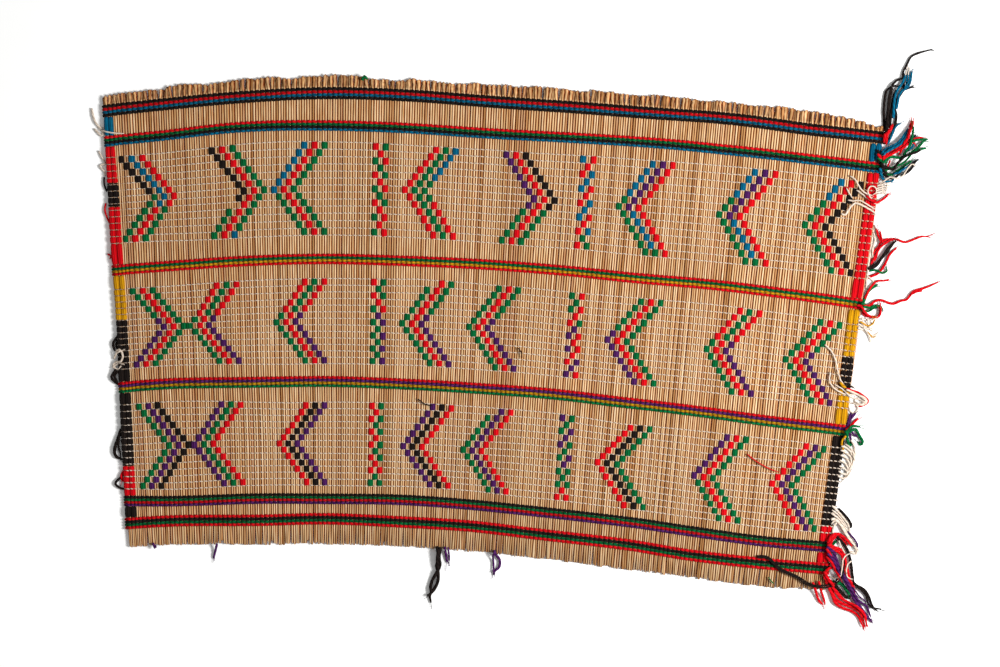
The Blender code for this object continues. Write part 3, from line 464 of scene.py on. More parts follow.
        ("cream", 1.0, 851.7, 561.1, 847.8, 564.4, 846.1, 571.1, 847.8, 577.8, 853.3, 579.4),
        ("cream", 1.0, 838.9, 540.7, 841.7, 547, 845.3, 553.6),
        ("red", 2.2, 826, 548, 830, 555, 832.5, 563, 836, 571, 839, 577),
        ("red", 2.0, 826, 556, 831, 562, 835, 569.5),
        ("purple", 1.7, 827, 553, 832, 559, 836, 567, 840, 575),
        ("red", 2.4, 824, 571, 828, 579, 834, 586),
    ),
    "left_a": (
        ("cream", 1.5, 91, 108, 92.3, 115, 94.8, 122, 98.7, 126.6, 102.5, 128.8),
        ("cream", 1.4, 93.6, 128.5, 96.8, 131.7, 100.6, 135.5, 103, 133, 100.6, 129.8),
        ("cream", 1.0, 101.2, 130.4, 109.5, 132.4, 115.9, 133, 124.2, 133.5),
    ),
    "left_b": (
        ("cream", 1.2, 98, 150.8, 101.2, 157, 104.4, 162.3),
        ("cream", 1.2, 106, 163, 99.3, 165.5, 103.8, 171.3, 104.4, 175),
        ("black", 1.4, 103.5, 177, 103.8, 184, 106.3, 191.7),
        ("red", 1.4, 105, 203, 104.5, 211, 109, 224),
    ),
    "left_c": (
        ("black", 2.0, 117.5, 336, 112.7, 343, 114, 351),
        ("black", 1.5, 118, 339, 115.5, 344, 117, 350),
        ("cream", 1.5, 115.5, 352, 119.5, 349.5, 122.8, 355, 121, 361.5, 115.5, 362, 112.5, 366, 117, 369.5,
         121, 366),
        ("cream", 1.4, 113.5, 359, 116.5, 353, 121.5, 351),
        ("cream", 1.2, 112, 368, 116, 364.5, 122, 363.5),
        ("black", 2.0, 115.5, 369.5, 111, 377, 113.7, 381, 118.5, 385),
        ("black", 1.7, 118, 371, 114, 376, 117, 382.5),
    ),
    "left_d": (
        ("black", 2.4, 120.5, 429, 117, 440, 114, 450, 115.7, 457, 122.5, 460),
        ("black", 1.6, 119, 436, 118, 446, 120, 455),
        ("black", 1.9, 123.5, 475, 117.5, 480, 114.8, 484, 119, 488, 125, 490),
        ("red", 1.7, 123.5, 470, 120.7, 476, 122.5, 482),
    ),
    "foot_a": (
        ("purple", 1.8, 217, 544, 215, 551, 213, 559),
    ),
    "foot_b": (
        ("black", 2.6, 437, 547, 438.5, 556, 436.5, 566, 438, 573, 437.5, 582, 433.5, 590, 429.5, 595, 430.5,
         603),
        ("black", 2.6, 440.5, 547, 439, 557, 440, 565, 437, 572, 432.5, 580, 430.5, 588, 431.5, 593, 427,
         595.5),
        ("black", 2.2, 438.5, 549, 437, 560, 438.5, 570),
        ("purple", 1.8, 445, 547, 446, 556, 447, 563),
        ("purple", 1.4, 448, 547, 449, 555, 449.5, 561),
    ),
    "foot_c": (
        ("purple", 2.0, 494, 550, 495, 554, 499.5, 560, 499, 567, 494.5, 571, 493, 575),
        ("purple", 1.6, 495, 550, 493, 556, 493.5, 565, 493.5, 573),
    ),
    "stray": (
        ("green", 2.4, 362.2, 80.5, 364.5, 76.5, 367.8, 79.8),
        ("purple", 1.8, 153, 543, 155, 548, 156, 545),
        ("black", 0.9, 518, 348, 521, 352, 522, 358),
        ("black", 0.9, 418, 399, 425, 404, 433, 406),
        ("red", 0.9, 747, 454, 756, 461, 768, 468, 779, 472),
        ("green", 0.9, 768, 577, 771, 581, 774, 584),
        ("red", 1.4, 107, 254, 110.5, 256, 109, 259),
    ),
}

# How high the strands of each bunch rise between root and tip, where it isn't the usual height
SPRING = {"band_b": 4.2, "corner": 1.6, "cream_1_head": 1.6}
USUAL_SPRING = 0.9


# Shape of the mat, in the part's own millimetres

def spread(pairs, values):
    """Values at some pairs as a straight-line function that runs on past both edges."""
    past = 6
    pairs, values = np.array(pairs, float), np.array(values, float)
    start = values[0] - (values[1] - values[0]) / (pairs[1] - pairs[0]) * past
    end = values[-1] + (values[-1] - values[-2]) / (pairs[-1] - pairs[-2]) * past
    pairs = np.concatenate([[pairs[0] - past], pairs, [pairs[-1] + past]])
    values = np.concatenate([[start], values, [end]])
    return lambda pair: np.interp(pair, pairs, values)


head_x = spread([line.pair for line in STALK_LINES], [line.head_x for line in STALK_LINES])
foot_x = spread([line.pair for line in STALK_LINES], [line.foot_x for line in STALK_LINES])


def between_tables(tables, place):
    """The two tables that each place lies between, and its share of the way from one to the other."""
    step = np.minimum(place.astype(int), len(tables) - 2)
    above = np.take_along_axis(tables, step[None], axis=0)[0]
    below = np.take_along_axis(tables, step[None] + 1, axis=0)[0]
    return above, below, place - step


def stalk_x(pair, y):
    """Where the line between stalks at a pair number crosses the height y."""
    pair, y = np.broadcast_arrays(pair, y)
    share = (HEAD_LINE - y) / (HEAD_LINE - FOOT_LINE)
    straight = head_x(pair) * (1 - share) + foot_x(pair) * share
    stations = [drift.pair for drift in DRIFTS]
    columns = zip(*[drift[1:] for drift in DRIFTS])
    strayed = np.stack([np.interp(pair, stations, column) for column in columns])
    place = np.interp(-y, [-level for level in DRIFT_LEVELS], range(len(DRIFT_LEVELS)))
    above, below, part = between_tables(strayed, place)
    part = part * part * (3 - 2 * part)
    return straight + above * (1 - part) + below * part


def smooth_line(line):
    """A band or an end as a smooth curve through its stations, sampled at every quarter of a pair."""
    pairs = np.array([station.pair for station in STATIONS], float)
    values = np.array([getattr(station, line) for station in STATIONS], float)
    slopes = np.gradient(values, pairs)
    slopes[1:-1] = (values[2:] - values[:-2]) / (pairs[2:] - pairs[:-2])
    fine = np.linspace(0, PAIRS, 4 * PAIRS + 1)
    step = np.clip(np.searchsorted(pairs, fine, side="right") - 1, 0, len(pairs) - 2)
    span = pairs[step + 1] - pairs[step]
    t = (fine - pairs[step]) / span
    height = (
        (2 * t**3 - 3 * t**2 + 1) * values[step]
        + (t**3 - 2 * t**2 + t) * slopes[step] * span
        + (3 * t**2 - 2 * t**3) * values[step + 1]
        + (t**3 - t**2) * slopes[step + 1] * span
    )
    return spread(fine, height)


def wrap_side(side, inner, y):
    """Where the outer or inner side of a wrapped edge lies at a height."""
    edge = 0.0 if side == "left" else float(PAIRS)
    return stalk_x(edge, y) + np.interp(-y, [-level for level in DRIFT_LEVELS], WRAP_REACH[side][inner])


LINES = {line: smooth_line(line) for line in Station._fields[1:]}
PITCH = {band.line: band.pitch for band in BANDS}


def cream_height(register, row, pair):
    """How high up the mat a cream row lies at a pair."""
    row, pair = np.broadcast_arrays(np.asarray(row, float), np.asarray(pair, float))
    first = LINES[register.above](pair) + register.first
    last = LINES[register.below](pair) + register.last
    even = first + (last - first) * row / (CREAM_ROWS - 1)
    ripples = np.stack([np.interp(pair, RIPPLE_PAIRS, ripple) for ripple in register.ripples])
    place = np.clip((row - RIPPLE_START) / RIPPLE_STEP, 0, len(register.ripples) - 1)
    above, below, part = between_tables(ripples, place)
    return even + above * (1 - part) + below * part


def spot(way):
    """Points of the photograph, as x and y by turns, in the part's own millimetres."""
    way = np.array(way, float).reshape(-1, 2)
    return np.stack([PIXEL * (way[:, 0] - PHOTO_X), PIXEL * (PHOTO_Y - way[:, 1])], axis=1)


# Meshes

def tubes(paths, wide, high, sides, plies=2, lead=PLY_LEAD, square=2.0):
    """Closed tubes along many paths of equal counts, round or squarish, with the lay of their fibres.

    The lay holds the turn of the plies, the way along in millimetres and a number of each tube's own.
    """
    count, steps = paths.shape[:2]
    along = np.gradient(paths, axis=1)
    along /= np.linalg.norm(along, axis=2, keepdims=True)
    side = np.cross(np.array([0.0, 0.0, 1.0]), along)
    side /= np.linalg.norm(side, axis=2, keepdims=True)
    up = np.cross(along, side)
    turn = np.arange(sides) / sides
    angle = 2 * np.pi * turn - np.pi / 2
    c, s = np.cos(angle), np.sin(angle)
    c = np.sign(c) * np.abs(c) ** (2 / square)
    s = np.sign(s) * np.abs(s) ** (2 / square)
    wide = np.broadcast_to(wide, (count, steps))[:, :, None, None] / 2
    high = np.broadcast_to(high, (count, steps))[:, :, None, None] / 2
    points = (
        paths[:, :, None, :]
        + wide * c[None, None, :, None] * side[:, :, None, :]
        + high * s[None, None, :, None] * up[:, :, None, :]
    )
    length = np.linalg.norm(np.diff(paths, axis=1), axis=2)
    way = np.concatenate([np.zeros((count, 1)), np.cumsum(length, axis=1)], axis=1)
    lay = np.empty((count, steps, sides, 3))
    lay[..., 0] = plies * turn[None, None, :] + way[:, :, None] / lead
    lay[..., 1] = way[:, :, None]
    lay[..., 2] = chance.uniform(0, 40, count)[:, None, None]
    first = (np.arange(count) * steps * sides)[:, None, None]
    here = first + (np.arange(steps - 1) * sides)[None, :, None]
    k = np.arange(sides)[None, None, :]
    n = (k + 1) % sides
    quads = np.stack([here + k, here + n, here + sides + n, here + sides + k], axis=3)
    starts = first[:, 0] + np.arange(sides)[None, ::-1]
    finishes = first[:, 0] + (steps - 1) * sides + np.arange(sides)[None, :]
    caps = np.concatenate([starts, finishes])
    return points.reshape(-1, 3), quads.reshape(-1, 4), caps, lay.reshape(-1, 3)


def piece(name, parts, material, replaces=(), tone=None):
    """One object from several sets of tubes, riding on the mat, with a tone at each point that holds straw
    tones and painted shade.
    """
    counts = np.cumsum([0] + [len(part[0]) for part in parts])
    points = np.concatenate([part[0] for part in parts])
    lay = np.concatenate([part[3] for part in parts])
    faces = [part[kind] + start for kind in (1, 2) for part, start in zip(parts, counts)]
    sizes = np.concatenate([np.full(len(face), face.shape[1]) for face in faces])
    corners = np.concatenate([face.reshape(-1) for face in faces])
    points = (points - np.array([CENTRE_X, CENTRE_Y, 0.0])) * MM
    mesh = bpy.data.meshes.new(name)
    mesh.vertices.add(len(points))
    mesh.vertices.foreach_set("co", points.astype(np.float32).reshape(-1))
    mesh.loops.add(len(corners))
    mesh.loops.foreach_set("vertex_index", corners.astype(np.int32))
    mesh.polygons.add(len(sizes))
    mesh.polygons.foreach_set("loop_start", (np.cumsum(sizes) - sizes).astype(np.int32))
    mesh.polygons.foreach_set("loop_total", sizes.astype(np.int32))
    mesh.update(calc_edges=True)
    mesh.validate()
    mesh.polygons.foreach_set("use_smooth", np.ones(len(mesh.polygons), bool))
    shown = np.ones((len(points), 4))
    if tone is not None:
        shown[:, :3] = tone
    for label, kind, field, values in (
        ("lay", "FLOAT_VECTOR", "vector", lay),
        ("tone", "FLOAT_COLOR", "color", shown),
    ):
        attribute = mesh.attributes.new(label, kind, "POINT")
        attribute.data.foreach_set(field, values.astype(np.float32).reshape(-1))
    mesh.materials.append(material)
    made = bpy.data.objects.new(name, mesh)
    bpy.context.scene.collection.objects.link(made)
    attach(made, "root")
    if replaces:
        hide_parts(*replaces)
    return made


# Colours and materials

def linear(code):
    """An sRGB hex value as linear numbers, with full alpha."""
    parts = [int(code[k : k + 2], 16) / 255 for k in (1, 3, 5)]
    parts = [part / 12.92 if part <= 0.04045 else ((part + 0.055) / 1.055) ** 2.4 for part in parts]
    return (*parts, 1.0)


def add(tree, kind, inputs=None, **settings):
    """One node, with its settings, and its inputs as values or as other nodes' sockets."""
    made = tree.nodes.new(kind)
    for name, value in settings.items():
        setattr(made, name, value)
    for place, value in (inputs or {}).items():
        if isinstance(value, bpy.types.NodeSocket):
            tree.links.new(value, made.inputs[place])
        else:
            made.inputs[place].default_value = value
    return made


def blank(name):
    """A new material with an empty tree."""
    made = bpy.data.materials.new(name)
    made.use_nodes = True
    made.node_tree.nodes.clear()
    return made, made.node_tree


def split_rush():
    """Rush stalks, split and sun-dried: a hard, faintly waxy skin with long fine fibres.

    Each stalk has its own straw tone, from the piece's tone, which also holds painted shade. Its sides are
    painted darker and browner than its crown, as painted shade. Stains are some 30 mm long, and fibres
    17 mm long and 0.4 mm apart give pale and brownish streaks.
    """
    fibres_round, fibre_rate = 16.0, 0.06
    stain_rate, stalks_apart = 0.035, 3.0
    pale_streak, brown_streak = linear("#FFFFFF"), linear("#DDB88C")
    # The second colour is painted shade: the stalks' sides are multiplied by it away from the crown
    stain, side_shade_colour = linear("#A16D32"), linear("#AC620A")
    crown, side_shade_reach, unevenness = 0.5, 0.1, -0.09

    made, tree = blank("split_rush")
    tone = add(tree, "ShaderNodeAttribute", attribute_name="tone")
    lay = add(tree, "ShaderNodeAttribute", attribute_name="lay")
    axes = add(tree, "ShaderNodeSeparateXYZ", {0: lay.outputs["Vector"]})
    across = add(tree, "ShaderNodeMath", {0: axes.outputs[0], 1: fibres_round}, operation="MULTIPLY")
    along = add(tree, "ShaderNodeMath", {0: axes.outputs[1], 1: fibre_rate}, operation="MULTIPLY")
    grain = add(tree, "ShaderNodeCombineXYZ", {
        0: across.outputs[0], 1: along.outputs[0], 2: axes.outputs[2]})
    fibres = add(tree, "ShaderNodeTexNoise", {
        "Vector": grain.outputs[0], "Scale": 1.0, "Detail": 4.0, "Roughness": 0.6})
    slow = add(tree, "ShaderNodeMath", {0: axes.outputs[1], 1: stain_rate}, operation="MULTIPLY")
    apart = add(tree, "ShaderNodeMath", {0: axes.outputs[2], 1: stalks_apart}, operation="MULTIPLY")
    where = add(tree, "ShaderNodeCombineXYZ", {0: slow.outputs[0], 2: apart.outputs[0]})
    stains = add(tree, "ShaderNodeTexNoise", {
        "Vector": where.outputs[0], "Scale": 1.0, "Detail": 3.0, "Roughness": 0.65})
    fibre_share = add(tree, "ShaderNodeMapRange", {
        "Value": fibres.outputs[0], 1: 0.34, 2: 0.66, 3: 0.0, 4: 1.0})
    stain_share = add(tree, "ShaderNodeMapRange", {
        "Value": stains.outputs[0], 1: 0.42, 2: 0.78, 3: 0.0, 4: 0.3})
    # Painted shade: each stalk's sides, away from its crown, take the side shade colour
    off_crown = add(tree, "ShaderNodeMath", {0: axes.outputs[0], 1: crown}, operation="SUBTRACT")
    side = add(tree, "ShaderNodeMath", {0: off_crown.outputs[0]}, operation="ABSOLUTE")
    uneven = add(tree, "ShaderNodeMath", {
        0: fibres.outputs[0], 1: unevenness, 2: side.outputs[0]}, operation="MULTIPLY_ADD")
    side_shade_share = add(tree, "ShaderNodeMapRange", {
        "Value": uneven.outputs[0], 1: 0.0, 2: side_shade_reach, 3: 0.0, 4: 1.0}, interpolation_type="SMOOTHSTEP")
    streaks = add(tree, "ShaderNodeMix", {
        0: fibre_share.outputs[0], 6: brown_streak, 7: pale_streak}, data_type="RGBA")
    grained = add(tree, "ShaderNodeMix", {
        0: 1.0, 6: tone.outputs["Color"], 7: streaks.outputs[2]}, data_type="RGBA", blend_type="MULTIPLY")
    stained = add(tree, "ShaderNodeMix", {
        0: stain_share.outputs[0], 6: grained.outputs[2], 7: stain}, data_type="RGBA")
    side_shaded = add(tree, "ShaderNodeMix", {
        0: 1.0, 6: stained.outputs[2], 7: side_shade_colour}, data_type="RGBA", blend_type="MULTIPLY")
    skin = add(tree, "ShaderNodeMix", {
        0: side_shade_share.outputs[0], 6: stained.outputs[2], 7: side_shaded.outputs[2]}, data_type="RGBA")
    bump = add(tree, "ShaderNodeBump", {"Strength": 0.5, "Distance": 0.2 * MM, "Height": fibres.outputs[0]})
    rough = add(tree, "ShaderNodeMapRange", {"Value": fibres.outputs[0], 3: 0.38, 4: 0.6})
    shader = add(tree, "ShaderNodeBsdfPrincipled", {
        "Base Color": skin.outputs[2], "Roughness": rough.outputs[0], "IOR": 1.5,
        "Specular IOR Level": 0.09, "Normal": bump.outputs[0]})
    add(tree, "ShaderNodeOutputMaterial", {0: shader.outputs[0]})
    return made


def dyed_wool(name, shade, light):
    """Hand-spun two-ply wool yarn, vat dyed: matt, with a soft bloom of fibre ends.

    Painted shade darkens the groove between the plies and the places where the yarn dips under a stalk, and
    patches some 9 mm wide took the dye unevenly. The fuzz is drawn 0.5 mm coarse, because single fibres of
    0.03 mm are too fine to show.
    """
    fuzz_coarse, patch_wide = 0.5 * MM, 9 * MM
    groove_shade_weight, fuzz_weight, patch_weight = 0.45, 0.7, 0.35

    made, tree = blank(name)
    tone = add(tree, "ShaderNodeAttribute", attribute_name="tone")
    lay = add(tree, "ShaderNodeAttribute", attribute_name="lay")
    axes = add(tree, "ShaderNodeSeparateXYZ", {0: lay.outputs["Vector"]})
    turn = add(tree, "ShaderNodeMath", {0: axes.outputs[0], 1: 2 * np.pi}, operation="MULTIPLY")
    wave = add(tree, "ShaderNodeMath", {0: turn.outputs[0]}, operation="SINE")
    ply = add(tree, "ShaderNodeMapRange", {"Value": wave.outputs[0], 1: -1.0, 2: 1.0, 3: 0.0, 4: 1.0})
    here = add(tree, "ShaderNodeTexCoord")
    fuzz = add(tree, "ShaderNodeTexNoise", {
        "Vector": here.outputs["Object"], "Scale": 1 / fuzz_coarse, "Detail": 2.0, "Roughness": 0.6})
    patch = add(tree, "ShaderNodeTexNoise", {
        "Vector": here.outputs["Object"], "Scale": 1 / patch_wide, "Detail": 1.0})
    # Painted shade: the ply wave darkens the groove between the plies
    groove_shade_part = add(tree, "ShaderNodeMath", {0: ply.outputs[0], 1: groove_shade_weight}, operation="MULTIPLY")
    fuzz_part = add(tree, "ShaderNodeMath", {
        0: fuzz.outputs[0], 1: fuzz_weight, 2: groove_shade_part.outputs[0]}, operation="MULTIPLY_ADD")
    both = add(tree, "ShaderNodeMath", {
        0: patch.outputs[0], 1: patch_weight, 2: fuzz_part.outputs[0]}, operation="MULTIPLY_ADD")
    share = add(tree, "ShaderNodeMapRange", {"Value": both.outputs[0], 1: 0.45, 2: 1.05, 3: 0.0, 4: 1.0})
    dye = add(tree, "ShaderNodeMix", {
        0: share.outputs[0], 6: linear(shade), 7: linear(light)}, data_type="RGBA")
    # The tone holds painted shade where the yarn dips under a stalk
    colour = add(tree, "ShaderNodeMix", {
        0: 1.0, 6: dye.outputs[2], 7: tone.outputs["Color"]}, data_type="RGBA", blend_type="MULTIPLY")
    height = add(tree, "ShaderNodeMath", {0: ply.outputs[0], 1: fuzz.outputs[0]}, operation="ADD")
    bump = add(tree, "ShaderNodeBump", {"Strength": 0.6, "Distance": 0.3 * MM, "Height": height.outputs[0]})
    shader = add(tree, "ShaderNodeBsdfPrincipled", {
        "Base Color": colour.outputs[2], "Roughness": 0.95, "IOR": 1.45, "Specular IOR Level": 0.06,
        "Sheen Weight": 0.02, "Sheen Roughness": 0.6, "Normal": bump.outputs[0]})
    add(tree, "ShaderNodeOutputMaterial", {0: shader.outputs[0]})
    return made


def paper():
    """The seamless backdrop paper that the mat lies on: matt, uncoated, nearly white."""
    fibres_a_metre = 40.0
    made, tree = blank("backdrop_paper")
    here = add(tree, "ShaderNodeTexCoord")
    fibre = add(tree, "ShaderNodeTexNoise", {
        "Vector": here.outputs["Object"], "Scale": fibres_a_metre, "Detail": 2.0})
    colour = add(tree, "ShaderNodeMix", {
        0: fibre.outputs[0], 6: linear("#F7F7F6"), 7: linear("#F9F9F8")}, data_type="RGBA")
    shader = add(tree, "ShaderNodeBsdfPrincipled", {
        "Base Color": colour.outputs[2], "Roughness": 0.95, "Specular IOR Level": 0.1})
    add(tree, "ShaderNodeOutputMaterial", {0: shader.outputs[0]})
    return made


RUSH = split_rush()
WOOL = {
    "red": dyed_wool("red_wool", "#980006", "#CB0A16"),
    "green": dyed_wool("green_wool", "#003918", "#006534"),
    "blue": dyed_wool("blue_wool", "#00344B", "#005F7E"),
    "purple": dyed_wool("purple_wool", "#240730", "#4C1D58"),
    "yellow": dyed_wool("yellow_wool", "#915E02", "#C7910D"),
    "black": dyed_wool("black_wool", "#090605", "#1E1613"),
    "cream": dyed_wool("cream_cotton", "#AC9A88", "#DCCEBF"),
}
SLOTS = {colour: f"{colour}_yarn" for colour in WOOL}
SLOTS["cream"] = "cream_thread"

# The straws' own tones, from the palest to the brownest, and how common each is
STRAWS = {
    "#E1CCA7": 0.32, "#D9C299": 0.26, "#CCB186": 0.18, "#BE9B6E": 0.1, "#C2A27D": 0.09, "#AB8758": 0.05,
}


# The pieces

# Past a band's middle line by this much a stalk is clear of the yarn
CLEAR = 4.8
HEAD_RINGS, FOOT_RINGS, STALK_SIDES = 7, 3, 8


def stalk_rings(lines, head, foot):
    """The heights of the rings of each stalk, from the top of its stub to its cut end."""
    under_a, under_f = 5.4, 5.2
    base = lines["a"] + CLEAR
    heights = [head, head - 0.5, head - 1.5]
    heights += [head * (1 - t) + base * t for t in (0.3, 0.55, 0.8)]
    heights += [base, lines["a"], lines["a"] - under_a, (lines["a"] + lines["b"]) / 2]
    heights += [lines["b"] + CLEAR, lines["b"], lines["b"] - CLEAR]
    for above, below in ("bc", "cd", "de"):
        heights += [lines[above] * (1 - t) + lines[below] * t for t in (0.25, 0.5, 0.75)]
        heights += [lines[below] + CLEAR, lines[below], lines[below] - CLEAR]
    heights += [(lines["e"] + lines["f"]) / 2, lines["f"], lines["f"] - under_f]
    heights += [foot * 0.7 + (lines["f"] - 5) * 0.3, foot + 0.3, foot]
    return np.stack(heights, axis=1)


def rush_stalks():
    """All the stalks: each pair pinched and folded into a stub at the head, and cut unevenly at the foot."""
    stalks = 2 * PAIRS
    number = np.arange(stalks)
    pair = number // 2
    centre = (number + 0.5) / 2
    lines = {line: LINES[line](centre) for line in LINES}

    # The head wavers slowly, each stub ends at its own height, and a few stalks are cut short at the foot
    slow_pairs = np.arange(0, PAIRS + 5, 4)
    slow = np.interp(pair, slow_pairs, chance.uniform(-1.1, 1.1, len(slow_pairs)))
    front = chance.integers(0, 2, PAIRS)[pair] == number % 2
    head = lines["head"] + slow + chance.uniform(-0.7, 0.7, PAIRS)[pair]
    head = head - np.where(front, 0.0, chance.uniform(0, 1.6))
    foot = lines["foot"] + chance.uniform(-0.8, 0.8, stalks)
    foot += np.where(chance.uniform(0, 1, stalks) < 0.06, chance.uniform(1.0, 3.0, stalks), 0.0)

    # Each stalk fills its place beside the next one, and leans a little to its pair's other stalk
    y = stalk_rings(lines, head, foot)
    near = stalk_x(centre[:, None] - 0.25, y)
    far = stalk_x(centre[:, None] + 0.25, y)
    toward = np.where(number % 2 == 0, 1.0, -1.0)[:, None]
    x = (near + far) / 2 + toward * 0.06 + np.cumsum(chance.normal(0, 0.035, y.shape), axis=1) * 0.5
    own = chance.uniform(0.9, 1.04, (stalks, 1))
    wide = (far - near) * own * chance.uniform(0.96, 1.03, y.shape)
    high = np.minimum(np.full(y.shape, STALK_HIGH - STALK_LOW) * own * 0.98, 1.96)
    z = np.full(y.shape, MID) + chance.normal(0, 0.07, y.shape)

    # At the head the two stalks of a pair are folded and crushed into one lumpy stub, one of them in front
    stub = np.array([1.0, 1.0, 1.0, 1.0, 0.8, 0.5, 0.2])
    rings = (stalks, HEAD_RINGS)
    top = (slice(None), slice(HEAD_RINGS))
    middle = stalk_x(pair[:, None] + 0.5, y[top])
    lean = np.repeat(chance.normal(0, 0.35, PAIRS), 2) + chance.normal(0, 0.3, stalks)
    gather = np.where(front, 0.6, 0.1)[:, None] * stub
    x[top] = x[top] * (1 - gather) + middle * gather + lean[:, None] * stub
    x[top] += chance.normal(0, 0.16, rings) * stub
    fat = np.where(front, chance.uniform(1.3, 1.75, stalks), chance.uniform(1.2, 1.5, stalks))[:, None]
    rounded = np.array([0.72, 1.0, 1.05, 1.0, 1.0, 1.0, 1.0])
    wide[top] *= (1 + (fat * chance.uniform(0.85, 1.15, rings) - 1) * stub) * rounded
    high[:, :2] *= np.array([0.5, 0.85])
    lift = np.where(front, chance.uniform(0.3, 0.9, stalks), chance.uniform(-0.4, 0.1, stalks))[:, None]
    z[top] += lift * stub + chance.normal(0, 0.12, rings) * stub

    # The cut ends lean a little at the foot, and some are flattened
    cut = (slice(None), slice(-FOOT_RINGS, None))
    x[cut] += chance.normal(0, 0.3, (stalks, 1)) * np.array([0.6, 1.0, 1.0])
    flat = np.where(chance.uniform(0, 1, stalks) < 0.15, 1.4, chance.uniform(0.8, 1.1, stalks))
    wide[cut] *= flat[:, None]
    wide[:, -1] *= 0.8
    high[:, -1] *= 0.7
    parts = tubes(np.stack([x, y, z], axis=2), wide, high, STALK_SIDES, plies=1, lead=1e9)
    tone = stalk_tones(y.shape, centre, front)
    return piece("rush_stalks", [parts], RUSH, ["stalks"], tone)


def stalk_tones(shape, centre, front):
    """The straw's tone at each point: squashed stubs, cut ends, and painted shade on the stubs and the lower
    right.
    """
    stalks, steps = shape
    straws = np.array([linear(code)[:3] for code in STRAWS])
    pick = chance.choice(len(straws), stalks, p=list(STRAWS.values()))
    tone = straws[pick][:, None, :] * chance.uniform(0.9, 1.1, (stalks, steps, 1))
    # The front stalk of each stub is darkened at random; the back stalk is darkened more, as painted shade in
    # the gaps between the stubs
    crushed_and_shaded = np.where(front, chance.uniform(0.6, 1.0, stalks), chance.uniform(0.25, 0.5, stalks))
    crushed_and_shaded = crushed_and_shaded[:, None] * chance.uniform(0.75, 1.15, (stalks, HEAD_RINGS - 1))
    warm = np.array([1.12, 0.98, 0.84])
    tone[:, : HEAD_RINGS - 1] *= crushed_and_shaded[:, :, None] * warm
    tone[:, -FOOT_RINGS:] *= chance.uniform(0.6, 1.0, (stalks, 1, 1))
    # Painted shade: toward the foot and the right the straw is darkened
    level = np.interp(np.arange(steps), [22, 26, 29, 31], [0.0, 0.4, 0.7, 1.0])
    lower_right_shade = np.interp(centre, [0, 30, 60, 154], [0.0, 0.05, 0.18, 0.24])[:, None] * level
    tone *= (1 - lower_right_shade)[:, :, None]
    return np.repeat(tone[:, :, None, :], STALK_SIDES, axis=2).reshape(-1, 3)


def twined(height, wide, high, top, steps, slant, rise=None):
    """A row of two strands twined round each other, each over every other pair of stalks and under the next.

    Beside the ways and the widths, it gives painted shade at each step, as the share of its own tone that a
    strand shows: it is painted dark where it dives between two pairs.
    """
    past_edge, stay_up, wobble = 0.35, 0.45, 0.05
    place = np.append(np.arange(-past_edge, PAIRS + past_edge, 1 / steps), PAIRS + past_edge)
    paths, widths, keeps = [], [], []
    for strand in (0, 1):
        turn = np.pi * (place - 0.5 + strand)
        over = np.cos(turn)
        lift = np.sign(over) * np.abs(over) ** stay_up
        lift = np.where((place < 0) | (place > PAIRS), lift * 0.3, lift)
        row = height(np.clip(place, 0, PAIRS))
        x = stalk_x(place, row)
        x = np.where(place < 0, wrap_side("left", 0, row), x)
        x = np.where(place > PAIRS, np.maximum(wrap_side("right", 0, row), x), x)
        y = row - slant * np.sin(turn) + chance.normal(0, wobble, len(place))
        above = top if rise is None else top + rise(place)
        z = MID + lift * np.where(lift > 0, above - high / 2 - MID, MID - high / 2)
        paths.append(np.stack([x, y, z], axis=1))
        widths.append(wide * (0.7 + 0.3 * np.abs(over)))
        # Painted shade: a strand is darkened where it dives between two pairs
        keeps.append(np.clip(0.1 + 1.6 * np.abs(over), 0.12, 1.0))
    return np.array(paths), np.array(widths), np.array(keeps)


def twined_bands():
    """The six bands of dyed wool, one piece for each row."""
    made, sides = [], 5
    for band in BANDS:
        for number, colour in enumerate(band.colours):
            offset = (1.5 - number) * band.pitch
            height = lambda pair, line=band.line, offset=offset: LINES[line](pair) + offset
            paths, widths, keeps = twined(height, band.pitch * YARN_SWELL, YARN_HIGH, TOP, 4, BAND_SLANT)
            parts = tubes(paths, widths, YARN_HIGH, sides)
            # Painted shade where a strand dives, times its row's painted light
            tone = np.repeat(keeps * band.keeps[number], sides).reshape(-1, 1)
            node = f"row_{band.line}{number + 1}"
            made.append(piece(f"band_{node}", [parts], WOOL[colour], [node], tone))
    return made


def by_wraps(place, left, right, elsewhere):
    """One value over the left wraps, one over the right wraps and one between them."""
    on_right = np.where(place > PAIRS - WRAPPED["right"], right, elsewhere)
    return np.where(place < WRAPPED["left"], left, on_right)


def cream_twining():
    """The fine cotton rows that hold the stalks together between the bands."""
    made = []
    edges = np.arange(PAIRS + 1.0)
    rise = lambda place: by_wraps(place, THREAD_WRAP_RISE, THREAD_WRAP_RISE, 0.0)
    for number, register in enumerate(REGISTERS, 1):
        parts = []
        for row in range(CREAM_ROWS):
            height = lambda pair, register=register, row=row: cream_height(register, row, pair)
            top = STALK_HIGH + THREAD_RISE
            paths, widths, _ = twined(height, THREAD_WIDE, THREAD_HIGH, top, 3, THREAD_SLANT, rise)
            place = np.interp(paths[0, :, 0], stalk_x(edges, 0.0), edges)
            widths = widths * by_wraps(place, BITES["left"], BITES["right"], 1.0)
            parts.append(tubes(paths, widths, THREAD_HIGH, 4, lead=THREAD_LEAD))
        made.append(piece(f"cream_twining_{number}", parts, WOOL["cream"]))
    return made


